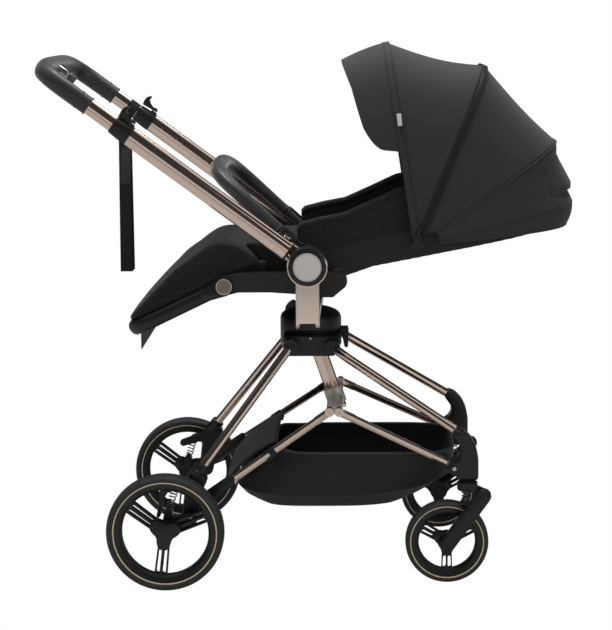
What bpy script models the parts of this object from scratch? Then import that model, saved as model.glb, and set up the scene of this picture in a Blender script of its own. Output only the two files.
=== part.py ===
"""Two-in-one pram with a turning seat, casters at the front and a fold that draws the legs together.

Metres, +Z up, +X towards the caster wheels, +Y to the left of whoever pushes.
The origin lies on the floor under the axis that the seat unit turns on.
"""
import math

import bmesh
import bpy
from mathutils import Matrix, Vector

# Driving dimensions of the whole
CLEAR = 0.0003
SIDES = {"L": 1, "R": -1}
HALF_LENGTH = 0.578

# Wheels
REAR_AXLE = (-0.309, 0.127)
REAR_TYRE_RADIUS = 0.127
REAR_TYRE_WIDTH = 0.044
REAR_RIM_RADIUS = 0.1118
REAR_TRACK = 0.277
FRONT_AXLE = (0.297, 0.090)
FRONT_TYRE_RADIUS = 0.090
FRONT_TYRE_WIDTH = 0.038
FRONT_RIM_RADIUS = 0.0795
FRONT_TRACK = 0.218
AXLE_RADIUS = 0.006

# Hub
HUB_RADIUS = 0.0685
HUB_BOTTOM = 0.4740
HUB_SPLIT = 0.5260
HUB_TOP = 0.5740
SPIGOT_RADIUS = 0.020
SPIGOT_HEIGHT = 0.012
HUB_BLOCK_HALF_WIDTH = 0.108

# Legs and struts
FRONT_LEG_PIVOT = (0.050, 0.500)
REAR_LEG_PIVOT = (-0.041, 0.503)
LEG_BARREL_RADIUS = 0.0165
LEG_BARREL_LENGTH = 0.0224
LEG_TUBE = 0.020
LEG_PIN_RADIUS = 0.005
FRONT_LEG_BEND = (0.0863, 0.1345, 0.476)
FRONT_LEG_END = (0.3150, FRONT_TRACK - 0.0250, 0.3312)
REAR_LEG_END = (-0.2284, REAR_TRACK - 0.0587, 0.2597)
NEXUS = (0.054, 0.366)
NEXUS_PIN_SPACING = 0.021
NEXUS_HALF_WIDTH = 0.160
NEXUS_PIN_RADIUS = 0.0035
KNUCKLE_RADIUS = 0.0098
KNUCKLE_LENGTH = 0.0194
STRUT_HEIGHT = 0.017
STRUT_THICKNESS = 0.011
FRONT_STRUT_EYE = (0.3116, FRONT_TRACK - 0.0315, 0.2505)
FRONT_EYE_RADIUS = 0.0105
FRONT_EYE_THICKNESS = 0.016
SLEEVE_START = (-0.168, REAR_TRACK - 0.0770, 0.2225)
REAR_STRUT_END = (-0.249, REAR_TRACK - 0.0735, 0.1665)
SLEEVE_HEIGHT = 0.026
SLEEVE_THICKNESS = 0.019
COLUMN_BOTTOM = (0.0615, 0.3455)
COLUMN_DIRECTION = (-0.3265, 0.945)
COLUMN_LOBE = 0.0130
COLUMN_PITCH = 0.0105

# Front housing, caster and suspension
HOUSING_INNER = FRONT_TRACK - 0.0220
HOUSING_OUTER = FRONT_TRACK + 0.0080
HOUSING_BOTTOM = 0.2220
STEM_X = 0.341
CROWN_RADIUS = 0.0222
CROWN_TOP = 0.2215
CROWN_BOTTOM = 0.2035
STEM_RADIUS = 0.006
STEM_TOP = 0.262
FRONT_ARM_PIVOT = (0.3745, 0.1980)
FRONT_ARM_INNER = FRONT_TRACK + 0.0230
FRONT_ARM_OUTER = FRONT_ARM_INNER + 0.0150
ARM_PIN_RADIUS = 0.004
FRONT_SPRING_AXIS = (0.336, FRONT_TRACK + 0.0110)
CASTER_LUG_INNER = FRONT_TRACK + 0.0110
FRONT_SPRING_BOTTOM = 0.1803
FRONT_SEAT_HEIGHT = 0.0036

# Rear housing and suspension
REAR_HOUSING_TOP = (-0.2363, 0.2453)
REAR_HOUSING_FOOT = (-0.2800, 0.1500)
REAR_HOUSING_WIDTH = 0.042
REAR_HOUSING_INNER = REAR_TRACK - 0.0630
REAR_FORK_OUTER = REAR_TRACK - 0.0490
REAR_HOUSING_OUTER = REAR_TRACK - 0.0275
REAR_ARM_PIVOT = (-0.2560, 0.1480)
REAR_SPRING_TOP = (-0.2920, 0.2060)
REAR_SPRING_BOTTOM = (-0.3020, 0.1720)
SPRING_SEAT_RADIUS = 0.0085
BRAKE_PIVOT = (-0.3145, 0.2060)

# Springs
SPRING_WIRE = 0.0026
FRONT_SPRING_RADIUS = 0.0072
FRONT_SPRING_TURNS = 3.5
REAR_SPRING_RADIUS = 0.0078
REAR_SPRING_TURNS = 5

# Yoke and handle
JOINT = (0.0, 0.6946)
JOINT_RING_RADIUS = 0.0423
JOINT_DISC_RADIUS = 0.0296
JOINT_PIN_RADIUS = 0.012
YOKE_WIDTH = 0.050
YOKE_INNER = 0.2335
YOKE_OUTER = 0.2475
YOKE_BEAM_BOTTOM = 0.5570
YOKE_BEAM_TOP = 0.5810
JOINT_RING_FACE = 0.2495
JOINT_DISC_FACE = 0.2515
HANDLE_ANGLE = 143.38
HANDLE_TRACK = 0.219
OUTER_TUBE = (0.041, 0.025)
INNER_TUBE = (0.033, 0.020)
GRIP_SECTION = (0.039, 0.028)
KNUCKLE_INNER = 0.2068
KNUCKLE_OUTER = 0.2330
COLLAR_START = 0.4634
COLLAR_END = 0.5070
GRIP_START = 0.5690
INNER_TUBE_FOOT = 0.3000
BORE_FOOT = 0.2600
GRIP_CORNER_RADIUS = 0.055
STRAP_START = 0.5080
STRAP_WIDTH = 0.025
STRAP_THICKNESS = 0.0022
STRAP_BOTTOM = 0.625

# Seat unit
RAIL_INNER = 0.180
RAIL_OUTER = 0.200
RAIL_TOP = 0.677
RAIL_BOTTOM = 0.634
FOOTREST_PIVOT = (-0.180, 0.647)
RECLINE_PIVOT = (0.062, 0.657)
BUMPER_PIVOT = (-0.012, 0.722)
BUMPER_LOOP = (-0.198, 0.891)
BUMPER_HALF_WIDTH = 0.186
BUMPER_TUBE = 0.025
BUMPER_CORNER_RADIUS = 0.070
ADAPTOR_RADIUS = 0.045
ADAPTOR_OUTER = 0.2060
PAN_TOP = 0.646
PAN_THICKNESS = 0.006
PAD_HALF_WIDTH = 0.156
PAD_TOP = 0.735
FOOT_ROLL_RADIUS = 0.095
FOOT_TUBE = 0.020
FOOT_TUBE_HEIGHT = 0.031
FOOT_CORNER_RADIUS = 0.045
FOOT_ARM_START = 0.028
FOOT_TUBE_TRACK = 0.192
FOOTREST_END = (-0.382, 0.550)
BACKREST_HALF_WIDTH = 0.1690
BACKREST_WALL = 0.012
BACKREST_FLOOR = 0.018
BACKREST_END = 0.540

# Canopy
CANOPY_PIVOT = (0.233, 0.730)
CANOPY_ROUNDNESS = 3.2
FRONT_BOW = (-8.4, 0.430, 0.1925)
MIDDLE_BOW = (21.9, 0.403, 0.1878)
REAR_SEAM = (55.6, 0.373, 0.1830)
VISOR_EDGE = (-22.2, 0.421, 0.1900)
BACK_CORNER = (78.7, 0.3518, 0.1780)
BACK_LOW = (84.5, 0.334, 0.1760)
BOW_WIDTH = 0.010
BOW_THICKNESS = 0.004
FABRIC = 0.003
FABRIC_SAG = 0.016
PANEL_INNER_RADIUS = 0.050
VISOR_INNER_RADIUS = 0.235

# Basket
BASKET_HALF_WIDTH = 0.150
BASKET_RIM = 0.268
BASKET_WALL = 0.003
BASKET_SQUARENESS = 0.32
TAB_WIDTH = 0.018
FRONT_TAB_X = 0.262
REAR_TAB_X = -0.060


# Outlines and sections
def arc(centre, radius, start, end, steps):
    """Points of an arc in an outline's plane, angles in degrees."""
    angles = [math.radians(start + (end - start) * i / steps) for i in range(steps + 1)]
    return [(centre[0] + radius * math.cos(a), centre[1] + radius * math.sin(a)) for a in angles]


def link(first, first_radius, second, second_radius, steps=6):
    """Outline of two discs and the straight sides that touch them both."""
    dx = second[0] - first[0]
    dz = second[1] - first[1]
    heading = math.degrees(math.atan2(dz, dx))
    lean = math.degrees(math.acos((first_radius - second_radius) / math.hypot(dx, dz)))
    end = arc(second, second_radius, heading - lean, heading + lean, steps)
    return end + arc(first, first_radius, heading + lean, heading - lean + 360, steps)


def oval(width, height, sides=10):
    """Section of an oval tube."""
    angles = [math.tau * (i + 0.5) / sides for i in range(sides)]
    return [(width / 2 * math.cos(a), height / 2 * math.sin(a)) for a in angles]


def rectangle(width, height):
    return [(-width / 2, -height / 2), (width / 2, -height / 2), (width / 2, height / 2), (-width / 2, height / 2)]


def rounded_path(points, radius, steps=4):
    """Polyline whose inner corners are arcs of the given radius."""
    points = [Vector(p) for p in points]
    path = [points[0]]
    for before, corner, after in zip(points, points[1:], points[2:]):
        back = (before - corner).normalized()
        ahead = (after - corner).normalized()
        half = back.angle(ahead) / 2
        reach = radius / math.tan(half)
        centre = corner + (back + ahead).normalized() * radius / math.sin(half)
        first = (corner + back * reach - centre).normalized()
        last = (corner + ahead * reach - centre).normalized()
        path += [centre + first.slerp(last, i / steps) * radius for i in range(steps + 1)]
    path.append(points[-1])
    return path


# Solids
def outward(shape):
    bmesh.ops.remove_doubles(shape, verts=shape.verts, dist=1e-6)
    bmesh.ops.recalc_face_normals(shape, faces=shape.faces)
    return shape


def sweep(path, section, reference, sizes=None):
    """Solid with the given section along a path; the section's second axis keeps to the reference."""
    path = [Vector(p) for p in path]
    stations = []
    for i, point in enumerate(path):
        ahead = (path[min(i + 1, len(path) - 1)] - point).normalized()
        behind = (point - path[max(i - 1, 0)]).normalized()
        along = (ahead + behind).normalized()
        up = Vector(reference)
        up = (up - along * up.dot(along)).normalized()
        turn = Matrix((up.cross(along), up, along)).transposed().to_4x4()
        size = sizes[i] if sizes else 1.0
        stations.append(Matrix.Translation(point) @ turn @ Matrix.Scale(size, 4))
    shape = bmesh.new()
    face = shape.faces.new([shape.verts.new(stations[0] @ Vector((a, b, 0))) for a, b in section])
    for index, (before, station) in enumerate(zip(stations, stations[1:])):
        grown = bmesh.ops.extrude_face_region(shape, geom=[face])["geom"]
        if index:
            bmesh.ops.delete(shape, geom=[face], context="FACES_ONLY")
        face = next(item for item in grown if isinstance(item, bmesh.types.BMFace))
        bmesh.ops.transform(shape, matrix=station @ before.inverted(), verts=face.verts)
    return outward(shape)


def plate(outline, low, high, axis="Y", bevel=0.0):
    """Outline extruded along an axis; its points are (x, z) for Y, (y, z) for X and (x, y) for Z."""
    shape = bmesh.new()
    if axis == "Y":
        corners = [(a, low, b) for a, b in outline]
        step = (0, high - low, 0)
    elif axis == "X":
        corners = [(low, a, b) for a, b in outline]
        step = (high - low, 0, 0)
    else:
        corners = [(a, b, low) for a, b in outline]
        step = (0, 0, high - low)
    face = shape.faces.new([shape.verts.new(corner) for corner in corners])
    grown = bmesh.ops.extrude_face_region(shape, geom=[face])["geom"]
    lid = next(item for item in grown if isinstance(item, bmesh.types.BMFace))
    bmesh.ops.translate(shape, vec=step, verts=lid.verts)
    if bevel:
        rim = list({edge for cap in (face, lid) for edge in cap.edges})
        bmesh.ops.bevel(shape, geom=rim, offset=bevel, segments=1, affect="EDGES", profile=0.5, material=-1)
    return outward(shape)


def lathe(profile, centre, steps, axis="Y", ring=False):
    """Turned solid; profile points are (radius, height along the axis)."""
    shape = bmesh.new()
    if axis == "Y":
        verts = [shape.verts.new((0, height, -radius)) for radius, height in profile]
        spin_axis = (0, 1, 0)
    else:
        verts = [shape.verts.new((radius, 0, height)) for radius, height in profile]
        spin_axis = (0, 0, 1)
    edges = [shape.edges.new(ends) for ends in zip(verts, verts[1:])]
    if ring:
        edges.append(shape.edges.new((verts[-1], verts[0])))
    bmesh.ops.spin(shape, geom=verts + edges, cent=(0, 0, 0), axis=spin_axis, angle=math.tau, steps=steps,
                   use_merge=True)
    bmesh.ops.translate(shape, vec=centre, verts=shape.verts)
    return outward(shape)


def disc(radius, low, high, centre, steps=20):
    """Cylinder along Y between two values of y."""
    return lathe([(0, low), (radius, low), (radius, high), (0, high)], (centre[0], 0, centre[1]), steps)


def combine(shape, tools, operation):
    """Boolean of one solid with others, in turn."""
    scratch = []
    for item in [shape] + tools:
        mesh = bpy.data.meshes.new("scratch")
        item.to_mesh(mesh)
        item.free()
        scratch.append(bpy.data.objects.new("scratch", mesh))
        bpy.context.scene.collection.objects.link(scratch[-1])
    for tool in scratch[1:]:
        modifier = scratch[0].modifiers.new("combine", "BOOLEAN")
        modifier.operation = operation
        modifier.object = tool
    result = bmesh.new()
    result.from_object(scratch[0], bpy.context.evaluated_depsgraph_get())
    for item in scratch:
        mesh = item.data
        bpy.data.objects.remove(item)
        bpy.data.meshes.remove(mesh)
    bmesh.ops.remove_doubles(result, verts=result.verts, dist=2e-6)
    bmesh.ops.dissolve_limit(result, angle_limit=math.radians(0.3), verts=result.verts, edges=result.edges)
    return result


def join(shape, *tools):
    return combine(shape, list(tools), "UNION")


def cut(shape, *tools):
    return combine(shape, list(tools), "DIFFERENCE")


def cross(shape, *tools):
    return combine(shape, list(tools), "INTERSECT")


def mirrored(shape, sign):
    """The shape as built for +Y, or its mirror image."""
    if sign < 0:
        bmesh.ops.scale(shape, vec=(1, -1, 1), verts=shape.verts)
        bmesh.ops.reverse_faces(shape, faces=shape.faces)
    return shape


def keep_below(shape, height):
    """Cut the shape flat at a height and close it."""
    cuts = bmesh.ops.bisect_plane(shape, geom=shape.verts[:] + shape.edges[:] + shape.faces[:],
                                  plane_co=(0, 0, height), plane_no=(0, 0, 1), clear_outer=True)["geom_cut"]
    bmesh.ops.contextual_create(shape, geom=[item for item in cuts if isinstance(item, bmesh.types.BMEdge)])
    return outward(shape)


# Scene, bodies and materials
for old in list(bpy.data.objects):
    bpy.data.objects.remove(old, do_unlink=True)

bodies = {}


def body(name, origin=(0, 0, 0), parent=None):
    """Empty on the joint's axis that carries the pieces of one moving body."""
    empty = bpy.data.objects.new("body_" + name, None)
    bpy.context.scene.collection.objects.link(empty)
    start = bodies[parent][1] if parent else Vector((0, 0, 0))
    empty.parent = bodies[parent][0] if parent else None
    empty.location = Vector(origin) - start
    bodies[name] = (empty, Vector(origin))


def flat(point, y=0.0):
    """(x, z) of a side view as a point in space."""
    return (point[0], y, point[1])


def finish_material(name, colour, roughness, metallic):
    material = bpy.data.materials.new(name)
    material.use_nodes = True
    shader = material.node_tree.nodes["Principled BSDF"]
    shader.inputs["Base Color"].default_value = (*colour, 1)
    shader.inputs["Roughness"].default_value = roughness
    shader.inputs["Metallic"].default_value = metallic
    return material


FINISHES = {
    "champagne": ((0.80, 0.62, 0.54), 0.12, 1.0),
    "black_plastic": ((0.018, 0.018, 0.019), 0.38, 0.0),
    "silver": ((0.72, 0.68, 0.67), 0.25, 1.0),
    "steel": ((0.45, 0.45, 0.46), 0.30, 1.0),
    "tyre": ((0.045, 0.045, 0.047), 0.75, 0.0),
    "leather": ((0.02, 0.02, 0.021), 0.45, 0.0),
    "canopy_cloth": ((0.042, 0.042, 0.045), 0.90, 0.0),
    "black_cloth": ((0.015, 0.015, 0.016), 0.90, 0.0),
    "webbing": ((0.02, 0.02, 0.02), 0.80, 0.0),
}


def add(name, shape, finish, carrier, sign=1):
    """Link a solid as a named piece of a body, with its own material."""
    shape = mirrored(shape, sign)
    empty, origin = bodies[carrier]
    bmesh.ops.translate(shape, vec=-origin, verts=shape.verts)
    mesh = bpy.data.meshes.new(name)
    shape.to_mesh(mesh)
    shape.free()
    mesh.materials.append(finish_material(name + "_finish", *FINISHES[finish]))
    mesh.shade_smooth()
    mesh.set_sharp_from_angle(angle=math.radians(32))
    piece = bpy.data.objects.new(name, mesh)
    piece.parent = empty
    bpy.context.scene.collection.objects.link(piece)
    return piece


# Base: hub lower case, guide column and fold lever
FOLD_LEVER_PIVOT = (0.0770, 0.5160)
FOLD_LEVER_RADIUS = 0.0082
FOLD_LEVER_HALF_WIDTH = 0.012


def hub_lower_case():
    case_top = HUB_SPLIT - CLEAR
    drum = lathe([(0, HUB_BOTTOM), (0.050, HUB_BOTTOM), (0.062, HUB_BOTTOM + 0.004),
                  (HUB_RADIUS, HUB_BOTTOM + 0.013), (HUB_RADIUS, case_top), (SPIGOT_RADIUS, case_top),
                  (SPIGOT_RADIUS, case_top + SPIGOT_HEIGHT), (0, case_top + SPIGOT_HEIGHT)], (0, 0, 0), 32, "Z")
    block_bottom = HUB_BOTTOM + 0.0035
    block_top = case_top - 0.004
    front = FRONT_LEG_PIVOT[0] + LEG_BARREL_RADIUS
    rear = REAR_LEG_PIVOT[0] - LEG_BARREL_RADIUS
    outline = [(rear + 0.012, block_bottom), (front - 0.014, block_bottom), (front, block_bottom + 0.014),
               (front, block_top), (rear, block_top), (rear, block_bottom + 0.012)]
    block = plate(outline, -HUB_BLOCK_HALF_WIDTH, HUB_BLOCK_HALF_WIDTH, bevel=0.002)
    pin_reach = HUB_BLOCK_HALF_WIDTH + LEG_BARREL_LENGTH
    pins = [disc(LEG_PIN_RADIUS, -pin_reach, pin_reach, pivot, 8) for pivot in (FRONT_LEG_PIVOT, REAR_LEG_PIVOT)]
    ear_inner = FOLD_LEVER_HALF_WIDTH + CLEAR
    ears = [plate([(0.055, 0.506), (0.083, 0.508), (0.0855, 0.516), (0.083, 0.5245), (0.055, 0.5245)],
                  low, low + 0.005) for low in (ear_inner, -ear_inner - 0.005)]
    return join(drum, block, *pins, *ears)


def column_section(grow=0.0):
    """Three round tubes side by side, drawn as one lobed section."""
    radius = COLUMN_LOBE / 2 + grow
    right = arc((COLUMN_PITCH, 0), radius, -115, 115, 4)
    top = arc((0, 0), radius * 1.06, 62, 118, 2)
    left = arc((-COLUMN_PITCH, 0), radius, 65, 295, 4)
    bottom = arc((0, 0), radius * 1.06, 242, 298, 2)
    return right + top + left + bottom


def column_path(below, above):
    along = Vector(flat(COLUMN_DIRECTION)).normalized()
    foot = Vector(flat(COLUMN_BOTTOM))
    return [foot - along * below, foot + along * above]


def guide_column():
    length = (HUB_BOTTOM - COLUMN_BOTTOM[1]) / 0.945
    tubes = sweep(column_path(0, length + 0.02), column_section(), (0, 1, 0))
    foot = plate(link((0.0495, 0.3425), 0.0045, (0.0745, 0.3465), 0.0045, 4), -0.011, 0.011, bevel=0.001)
    return keep_below(join(tubes, foot), HUB_BOTTOM - CLEAR)


def fold_lever():
    outline = link(FOLD_LEVER_PIVOT, FOLD_LEVER_RADIUS, (0.0795, 0.4835), 0.0045)
    return plate(outline, -FOLD_LEVER_HALF_WIDTH, FOLD_LEVER_HALF_WIDTH, bevel=0.001)


# Base: nexus bracket and the struts that hinge on it
FRONT_PIN = (NEXUS[0] + NEXUS_PIN_SPACING / 2, NEXUS[1])
REAR_PIN = (NEXUS[0] - NEXUS_PIN_SPACING / 2, NEXUS[1])
STRUT_TRACK = NEXUS_HALF_WIDTH + CLEAR + KNUCKLE_LENGTH / 2


def nexus_bracket():
    along = Vector(flat(COLUMN_DIRECTION)).normalized()
    centre = Vector(flat(NEXUS))
    sleeve = sweep([centre - along * 0.016, centre + along * 0.020], oval(0.044, 0.024, 12), (0, 1, 0))
    bar = sweep([(NEXUS[0], -NEXUS_HALF_WIDTH, NEXUS[1]), (NEXUS[0], NEXUS_HALF_WIDTH, NEXUS[1])],
                oval(0.036, 0.016, 10), (0, 0, 1))
    reach = NEXUS_HALF_WIDTH + KNUCKLE_LENGTH
    pins = [disc(NEXUS_PIN_RADIUS, -reach, reach, pin, 8) for pin in (FRONT_PIN, REAR_PIN)]
    bore = sweep(column_path(0.02, 0.10), column_section(2 * CLEAR), (0, 1, 0))
    return cut(join(sleeve, bar, *pins), bore)


def knuckle(pin, low, high, radius, bore_radius):
    """Barrel with a bore, on an axis along Y."""
    profile = [(bore_radius, low), (radius, low), (radius, high), (bore_radius, high)]
    return lathe(profile, flat(pin), 14, ring=True)


def between(start, end, distance):
    """Point at a distance from the start, on the way to the end."""
    start = Vector(start)
    return start + (Vector(end) - start).normalized() * distance


def front_strut():
    low = NEXUS_HALF_WIDTH + CLEAR
    root = flat(FRONT_PIN, STRUT_TRACK)
    inner = knuckle(FRONT_PIN, low, low + KNUCKLE_LENGTH, KNUCKLE_RADIUS, NEXUS_PIN_RADIUS + CLEAR)
    eye_low = FRONT_STRUT_EYE[1] - FRONT_EYE_THICKNESS / 2
    outer = disc(FRONT_EYE_RADIUS, eye_low, eye_low + FRONT_EYE_THICKNESS,
                 (FRONT_STRUT_EYE[0], FRONT_STRUT_EYE[2]), 14)
    path = [between(root, FRONT_STRUT_EYE, 0.0065), between(root, FRONT_STRUT_EYE, 0.034),
            between(root, FRONT_STRUT_EYE, 0.038), Vector(FRONT_STRUT_EYE)]
    tube = sweep(path, oval(STRUT_HEIGHT, STRUT_THICKNESS, 8), (0, 1, 0), [1.12, 1.12, 1.0, 1.0])
    return join(inner, tube, outer)


def rear_strut():
    low = NEXUS_HALF_WIDTH + CLEAR
    root = flat(REAR_PIN, STRUT_TRACK)
    inner = knuckle(REAR_PIN, low, low + KNUCKLE_LENGTH, KNUCKLE_RADIUS, NEXUS_PIN_RADIUS + CLEAR)
    path = [between(root, SLEEVE_START, 0.0065), between(root, SLEEVE_START, 0.034),
            between(root, SLEEVE_START, 0.038), Vector(SLEEVE_START)]
    tube = sweep(path, oval(STRUT_HEIGHT, STRUT_THICKNESS, 8), (0, 1, 0), [1.12, 1.12, 1.0, 1.0])
    sleeve_path = [between(SLEEVE_START, root, 0.006), Vector(SLEEVE_START), between(REAR_STRUT_END, root, 0.006),
                   Vector(REAR_STRUT_END)]
    sleeve = sweep(sleeve_path, oval(SLEEVE_HEIGHT, SLEEVE_THICKNESS, 10), (0, 1, 0), [0.8, 1.0, 1.0, 0.7])
    return join(inner, tube, sleeve)


# Base: legs
LEG_TRACK = HUB_BLOCK_HALF_WIDTH + CLEAR + LEG_BARREL_LENGTH / 2


def leg_barrel(pivot):
    low = HUB_BLOCK_HALF_WIDTH + CLEAR
    return knuckle(pivot, low, low + LEG_BARREL_LENGTH, LEG_BARREL_RADIUS, LEG_PIN_RADIUS + CLEAR)


def front_leg():
    top = flat(FRONT_LEG_PIVOT, LEG_TRACK)
    path = rounded_path([between(top, FRONT_LEG_BEND, 0.0085), FRONT_LEG_BEND, FRONT_LEG_END], 0.12, 3)
    return join(leg_barrel(FRONT_LEG_PIVOT), sweep(path, oval(LEG_TUBE, LEG_TUBE, 10), (0, 1, 0)))


def rear_leg():
    top = flat(REAR_LEG_PIVOT, LEG_TRACK)
    path = [between(top, REAR_LEG_END, 0.0085), REAR_LEG_END]
    return join(leg_barrel(REAR_LEG_PIVOT), sweep(path, oval(LEG_TUBE, LEG_TUBE, 10), (0, 1, 0)))


# Base: front housing, which takes the leg, the strut's screw and the caster stem
def front_housing():
    lobe = (FRONT_STRUT_EYE[0], FRONT_STRUT_EYE[2])
    outline = [(0.3295, 0.3372), (0.3470, 0.3140), (0.3622, 0.2883), (0.3647, 0.2500), (0.3640, HOUSING_BOTTOM),
               (0.3185, HOUSING_BOTTOM)]
    outline += arc(lobe, 0.0150, 250, 110, 4)
    outline += [(0.3170, 0.2705), (0.3180, 0.2850)]
    shell = plate(outline, HOUSING_INNER, HOUSING_OUTER, bevel=0.004)
    leg_end = Vector(FRONT_LEG_END)
    heading = (leg_end - Vector(FRONT_LEG_BEND)).normalized()
    mouth = leg_end + heading * CLEAR
    socket = sweep([mouth, mouth + heading * 0.040], oval(0.030, 0.030, 12), (0, 1, 0))
    collar = lathe([(0, HOUSING_BOTTOM), (CROWN_RADIUS, HOUSING_BOTTOM), (CROWN_RADIUS, HOUSING_BOTTOM + 0.012),
                    (0.016, HOUSING_BOTTOM + 0.026), (0, HOUSING_BOTTOM + 0.026)],
                   (STEM_X, FRONT_TRACK, 0), 16, "Z")
    bore = lathe([(0, HOUSING_BOTTOM - 0.01), (STEM_RADIUS + CLEAR, HOUSING_BOTTOM - 0.01),
                  (STEM_RADIUS + CLEAR, STEM_TOP + CLEAR), (0, STEM_TOP + CLEAR)],
                 (STEM_X, FRONT_TRACK, 0), 12, "Z")
    return cut(join(shell, socket, collar), bore)


# Base: rear housing with the fork that carries the axle arm
REAR_HOUSING_LEAN = math.degrees(math.atan2(REAR_HOUSING_TOP[1] - REAR_HOUSING_FOOT[1],
                                            REAR_HOUSING_TOP[0] - REAR_HOUSING_FOOT[0]))


def along_housing(distance, across=0.0):
    """Point on the rear housing's own axes, measured down from its top."""
    lean = math.radians(REAR_HOUSING_LEAN)
    x = REAR_HOUSING_TOP[0] - distance * math.cos(lean) + across * math.sin(lean)
    z = REAR_HOUSING_TOP[1] - distance * math.sin(lean) - across * math.cos(lean)
    return (x, z)


def rear_housing():
    half = REAR_HOUSING_WIDTH / 2
    corners = [along_housing(0.0, -half + 0.004), along_housing(0.0, half - 0.004), along_housing(0.006, half),
               along_housing(0.046, half), along_housing(0.046, -half), along_housing(0.006, -half)]
    upper = plate(corners, REAR_HOUSING_INNER, REAR_HOUSING_OUTER, bevel=0.003)
    fork_top = along_housing(0.030)
    fork = plate(link(fork_top, half - 0.002, (REAR_ARM_PIVOT[0] - 0.004, REAR_ARM_PIVOT[1] - 0.006), 0.017),
                 REAR_HOUSING_INNER, REAR_FORK_OUTER, bevel=0.002)
    leg_end = Vector(REAR_LEG_END)
    heading = (leg_end - Vector(flat(REAR_LEG_PIVOT, LEG_TRACK))).normalized()
    mouth = leg_end + heading * CLEAR
    socket = sweep([mouth, mouth + heading * 0.030], oval(0.031, 0.031, 12), (0, 1, 0))
    pin = disc(ARM_PIN_RADIUS, REAR_FORK_OUTER - 0.004, REAR_HOUSING_OUTER - 0.004, REAR_ARM_PIVOT, 12)
    ear = plate(link(BRAKE_PIVOT, 0.0085, along_housing(0.030, -half + 0.008), 0.010), REAR_HOUSING_INNER,
                REAR_FORK_OUTER)
    cup_centre = spring_seat(REAR_SPRING_TOP, 1)
    cup = plate(link(cup_centre, SPRING_SEAT_RADIUS, along_housing(0.030), 0.012), REAR_FORK_OUTER - 0.003,
                REAR_HOUSING_OUTER - 0.001)
    return join(upper, fork, socket, pin, ear, cup)


def spring_seat(end, side):
    """Centre of the round seat that the rear spring ends on, above it for 1 and below it for -1."""
    along = (Vector(REAR_SPRING_TOP) - Vector(REAR_SPRING_BOTTOM)).normalized()
    centre = Vector(end) + along * SPRING_SEAT_RADIUS * side
    return (centre.x, centre.y)


def rear_arm():
    low = REAR_FORK_OUTER + CLEAR
    high = REAR_HOUSING_OUTER
    beam = plate(link(REAR_ARM_PIVOT, 0.0135, REAR_AXLE, 0.0155), low, high, bevel=0.001)
    seat = plate(link(spring_seat(REAR_SPRING_BOTTOM, -1), SPRING_SEAT_RADIUS, REAR_AXLE, 0.012), low, high)
    axle = disc(AXLE_RADIUS, high - 0.004, REAR_TRACK + 0.016, REAR_AXLE, 12)
    bore = disc(ARM_PIN_RADIUS + CLEAR, low - 0.004, high - 0.003, REAR_ARM_PIVOT, 12)
    return cut(join(beam, seat, axle), bore)


def brake_pedal():
    low = REAR_FORK_OUTER + CLEAR
    high = REAR_HOUSING_OUTER
    barrel = disc(0.0085, low, high, BRAKE_PIVOT, 14)
    shape = [(-0.0075, 0.001), (-0.0095, -0.020), (-0.0165, -0.053), (-0.0120, -0.0575), (-0.0065, -0.050),
             (-0.0010, -0.020), (0.0060, -0.003)]
    lever = plate([(BRAKE_PIVOT[0] + x, BRAKE_PIVOT[1] + z) for x, z in shape], low, high, bevel=0.001)
    return join(barrel, lever)


# Base: caster crown, front arm and springs
def caster():
    crown = lathe([(0, CROWN_BOTTOM), (CROWN_RADIUS - 0.002, CROWN_BOTTOM), (CROWN_RADIUS, CROWN_BOTTOM + 0.003),
                   (CROWN_RADIUS, CROWN_TOP), (STEM_RADIUS, CROWN_TOP), (STEM_RADIUS, STEM_TOP), (0, STEM_TOP)],
                  (STEM_X, FRONT_TRACK, 0), 16, "Z")
    lug_high = FRONT_ARM_INNER - CLEAR
    lug = plate(link((STEM_X + 0.010, CROWN_BOTTOM + 0.009), 0.0088, FRONT_ARM_PIVOT, 0.0120), CASTER_LUG_INNER, lug_high)
    pin = disc(ARM_PIN_RADIUS, lug_high - 0.004, FRONT_ARM_OUTER - 0.004, FRONT_ARM_PIVOT, 12)
    return join(crown, lug, pin)


def front_arm():
    low = FRONT_ARM_INNER
    high = FRONT_ARM_OUTER
    beam = plate(link(FRONT_ARM_PIVOT, 0.0165, FRONT_AXLE, 0.0165, 6), low, high, bevel=0.003)
    seat_top = FRONT_SPRING_BOTTOM - CLEAR
    seat_low = seat_top - FRONT_SEAT_HEIGHT
    seat = plate([(0.3250, seat_low), (0.3470, seat_low), (0.3470, seat_top), (0.3250, seat_top)],
                 FRONT_SPRING_AXIS[1] - FRONT_SPRING_RADIUS - 0.002, low + 0.004)
    axle = disc(AXLE_RADIUS, FRONT_TRACK - 0.0145, low + 0.004, FRONT_AXLE, 12)
    bore = disc(ARM_PIN_RADIUS + CLEAR, low - 0.004, high - 0.003, FRONT_ARM_PIVOT, 12)
    return cut(join(beam, seat, axle), bore)


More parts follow.
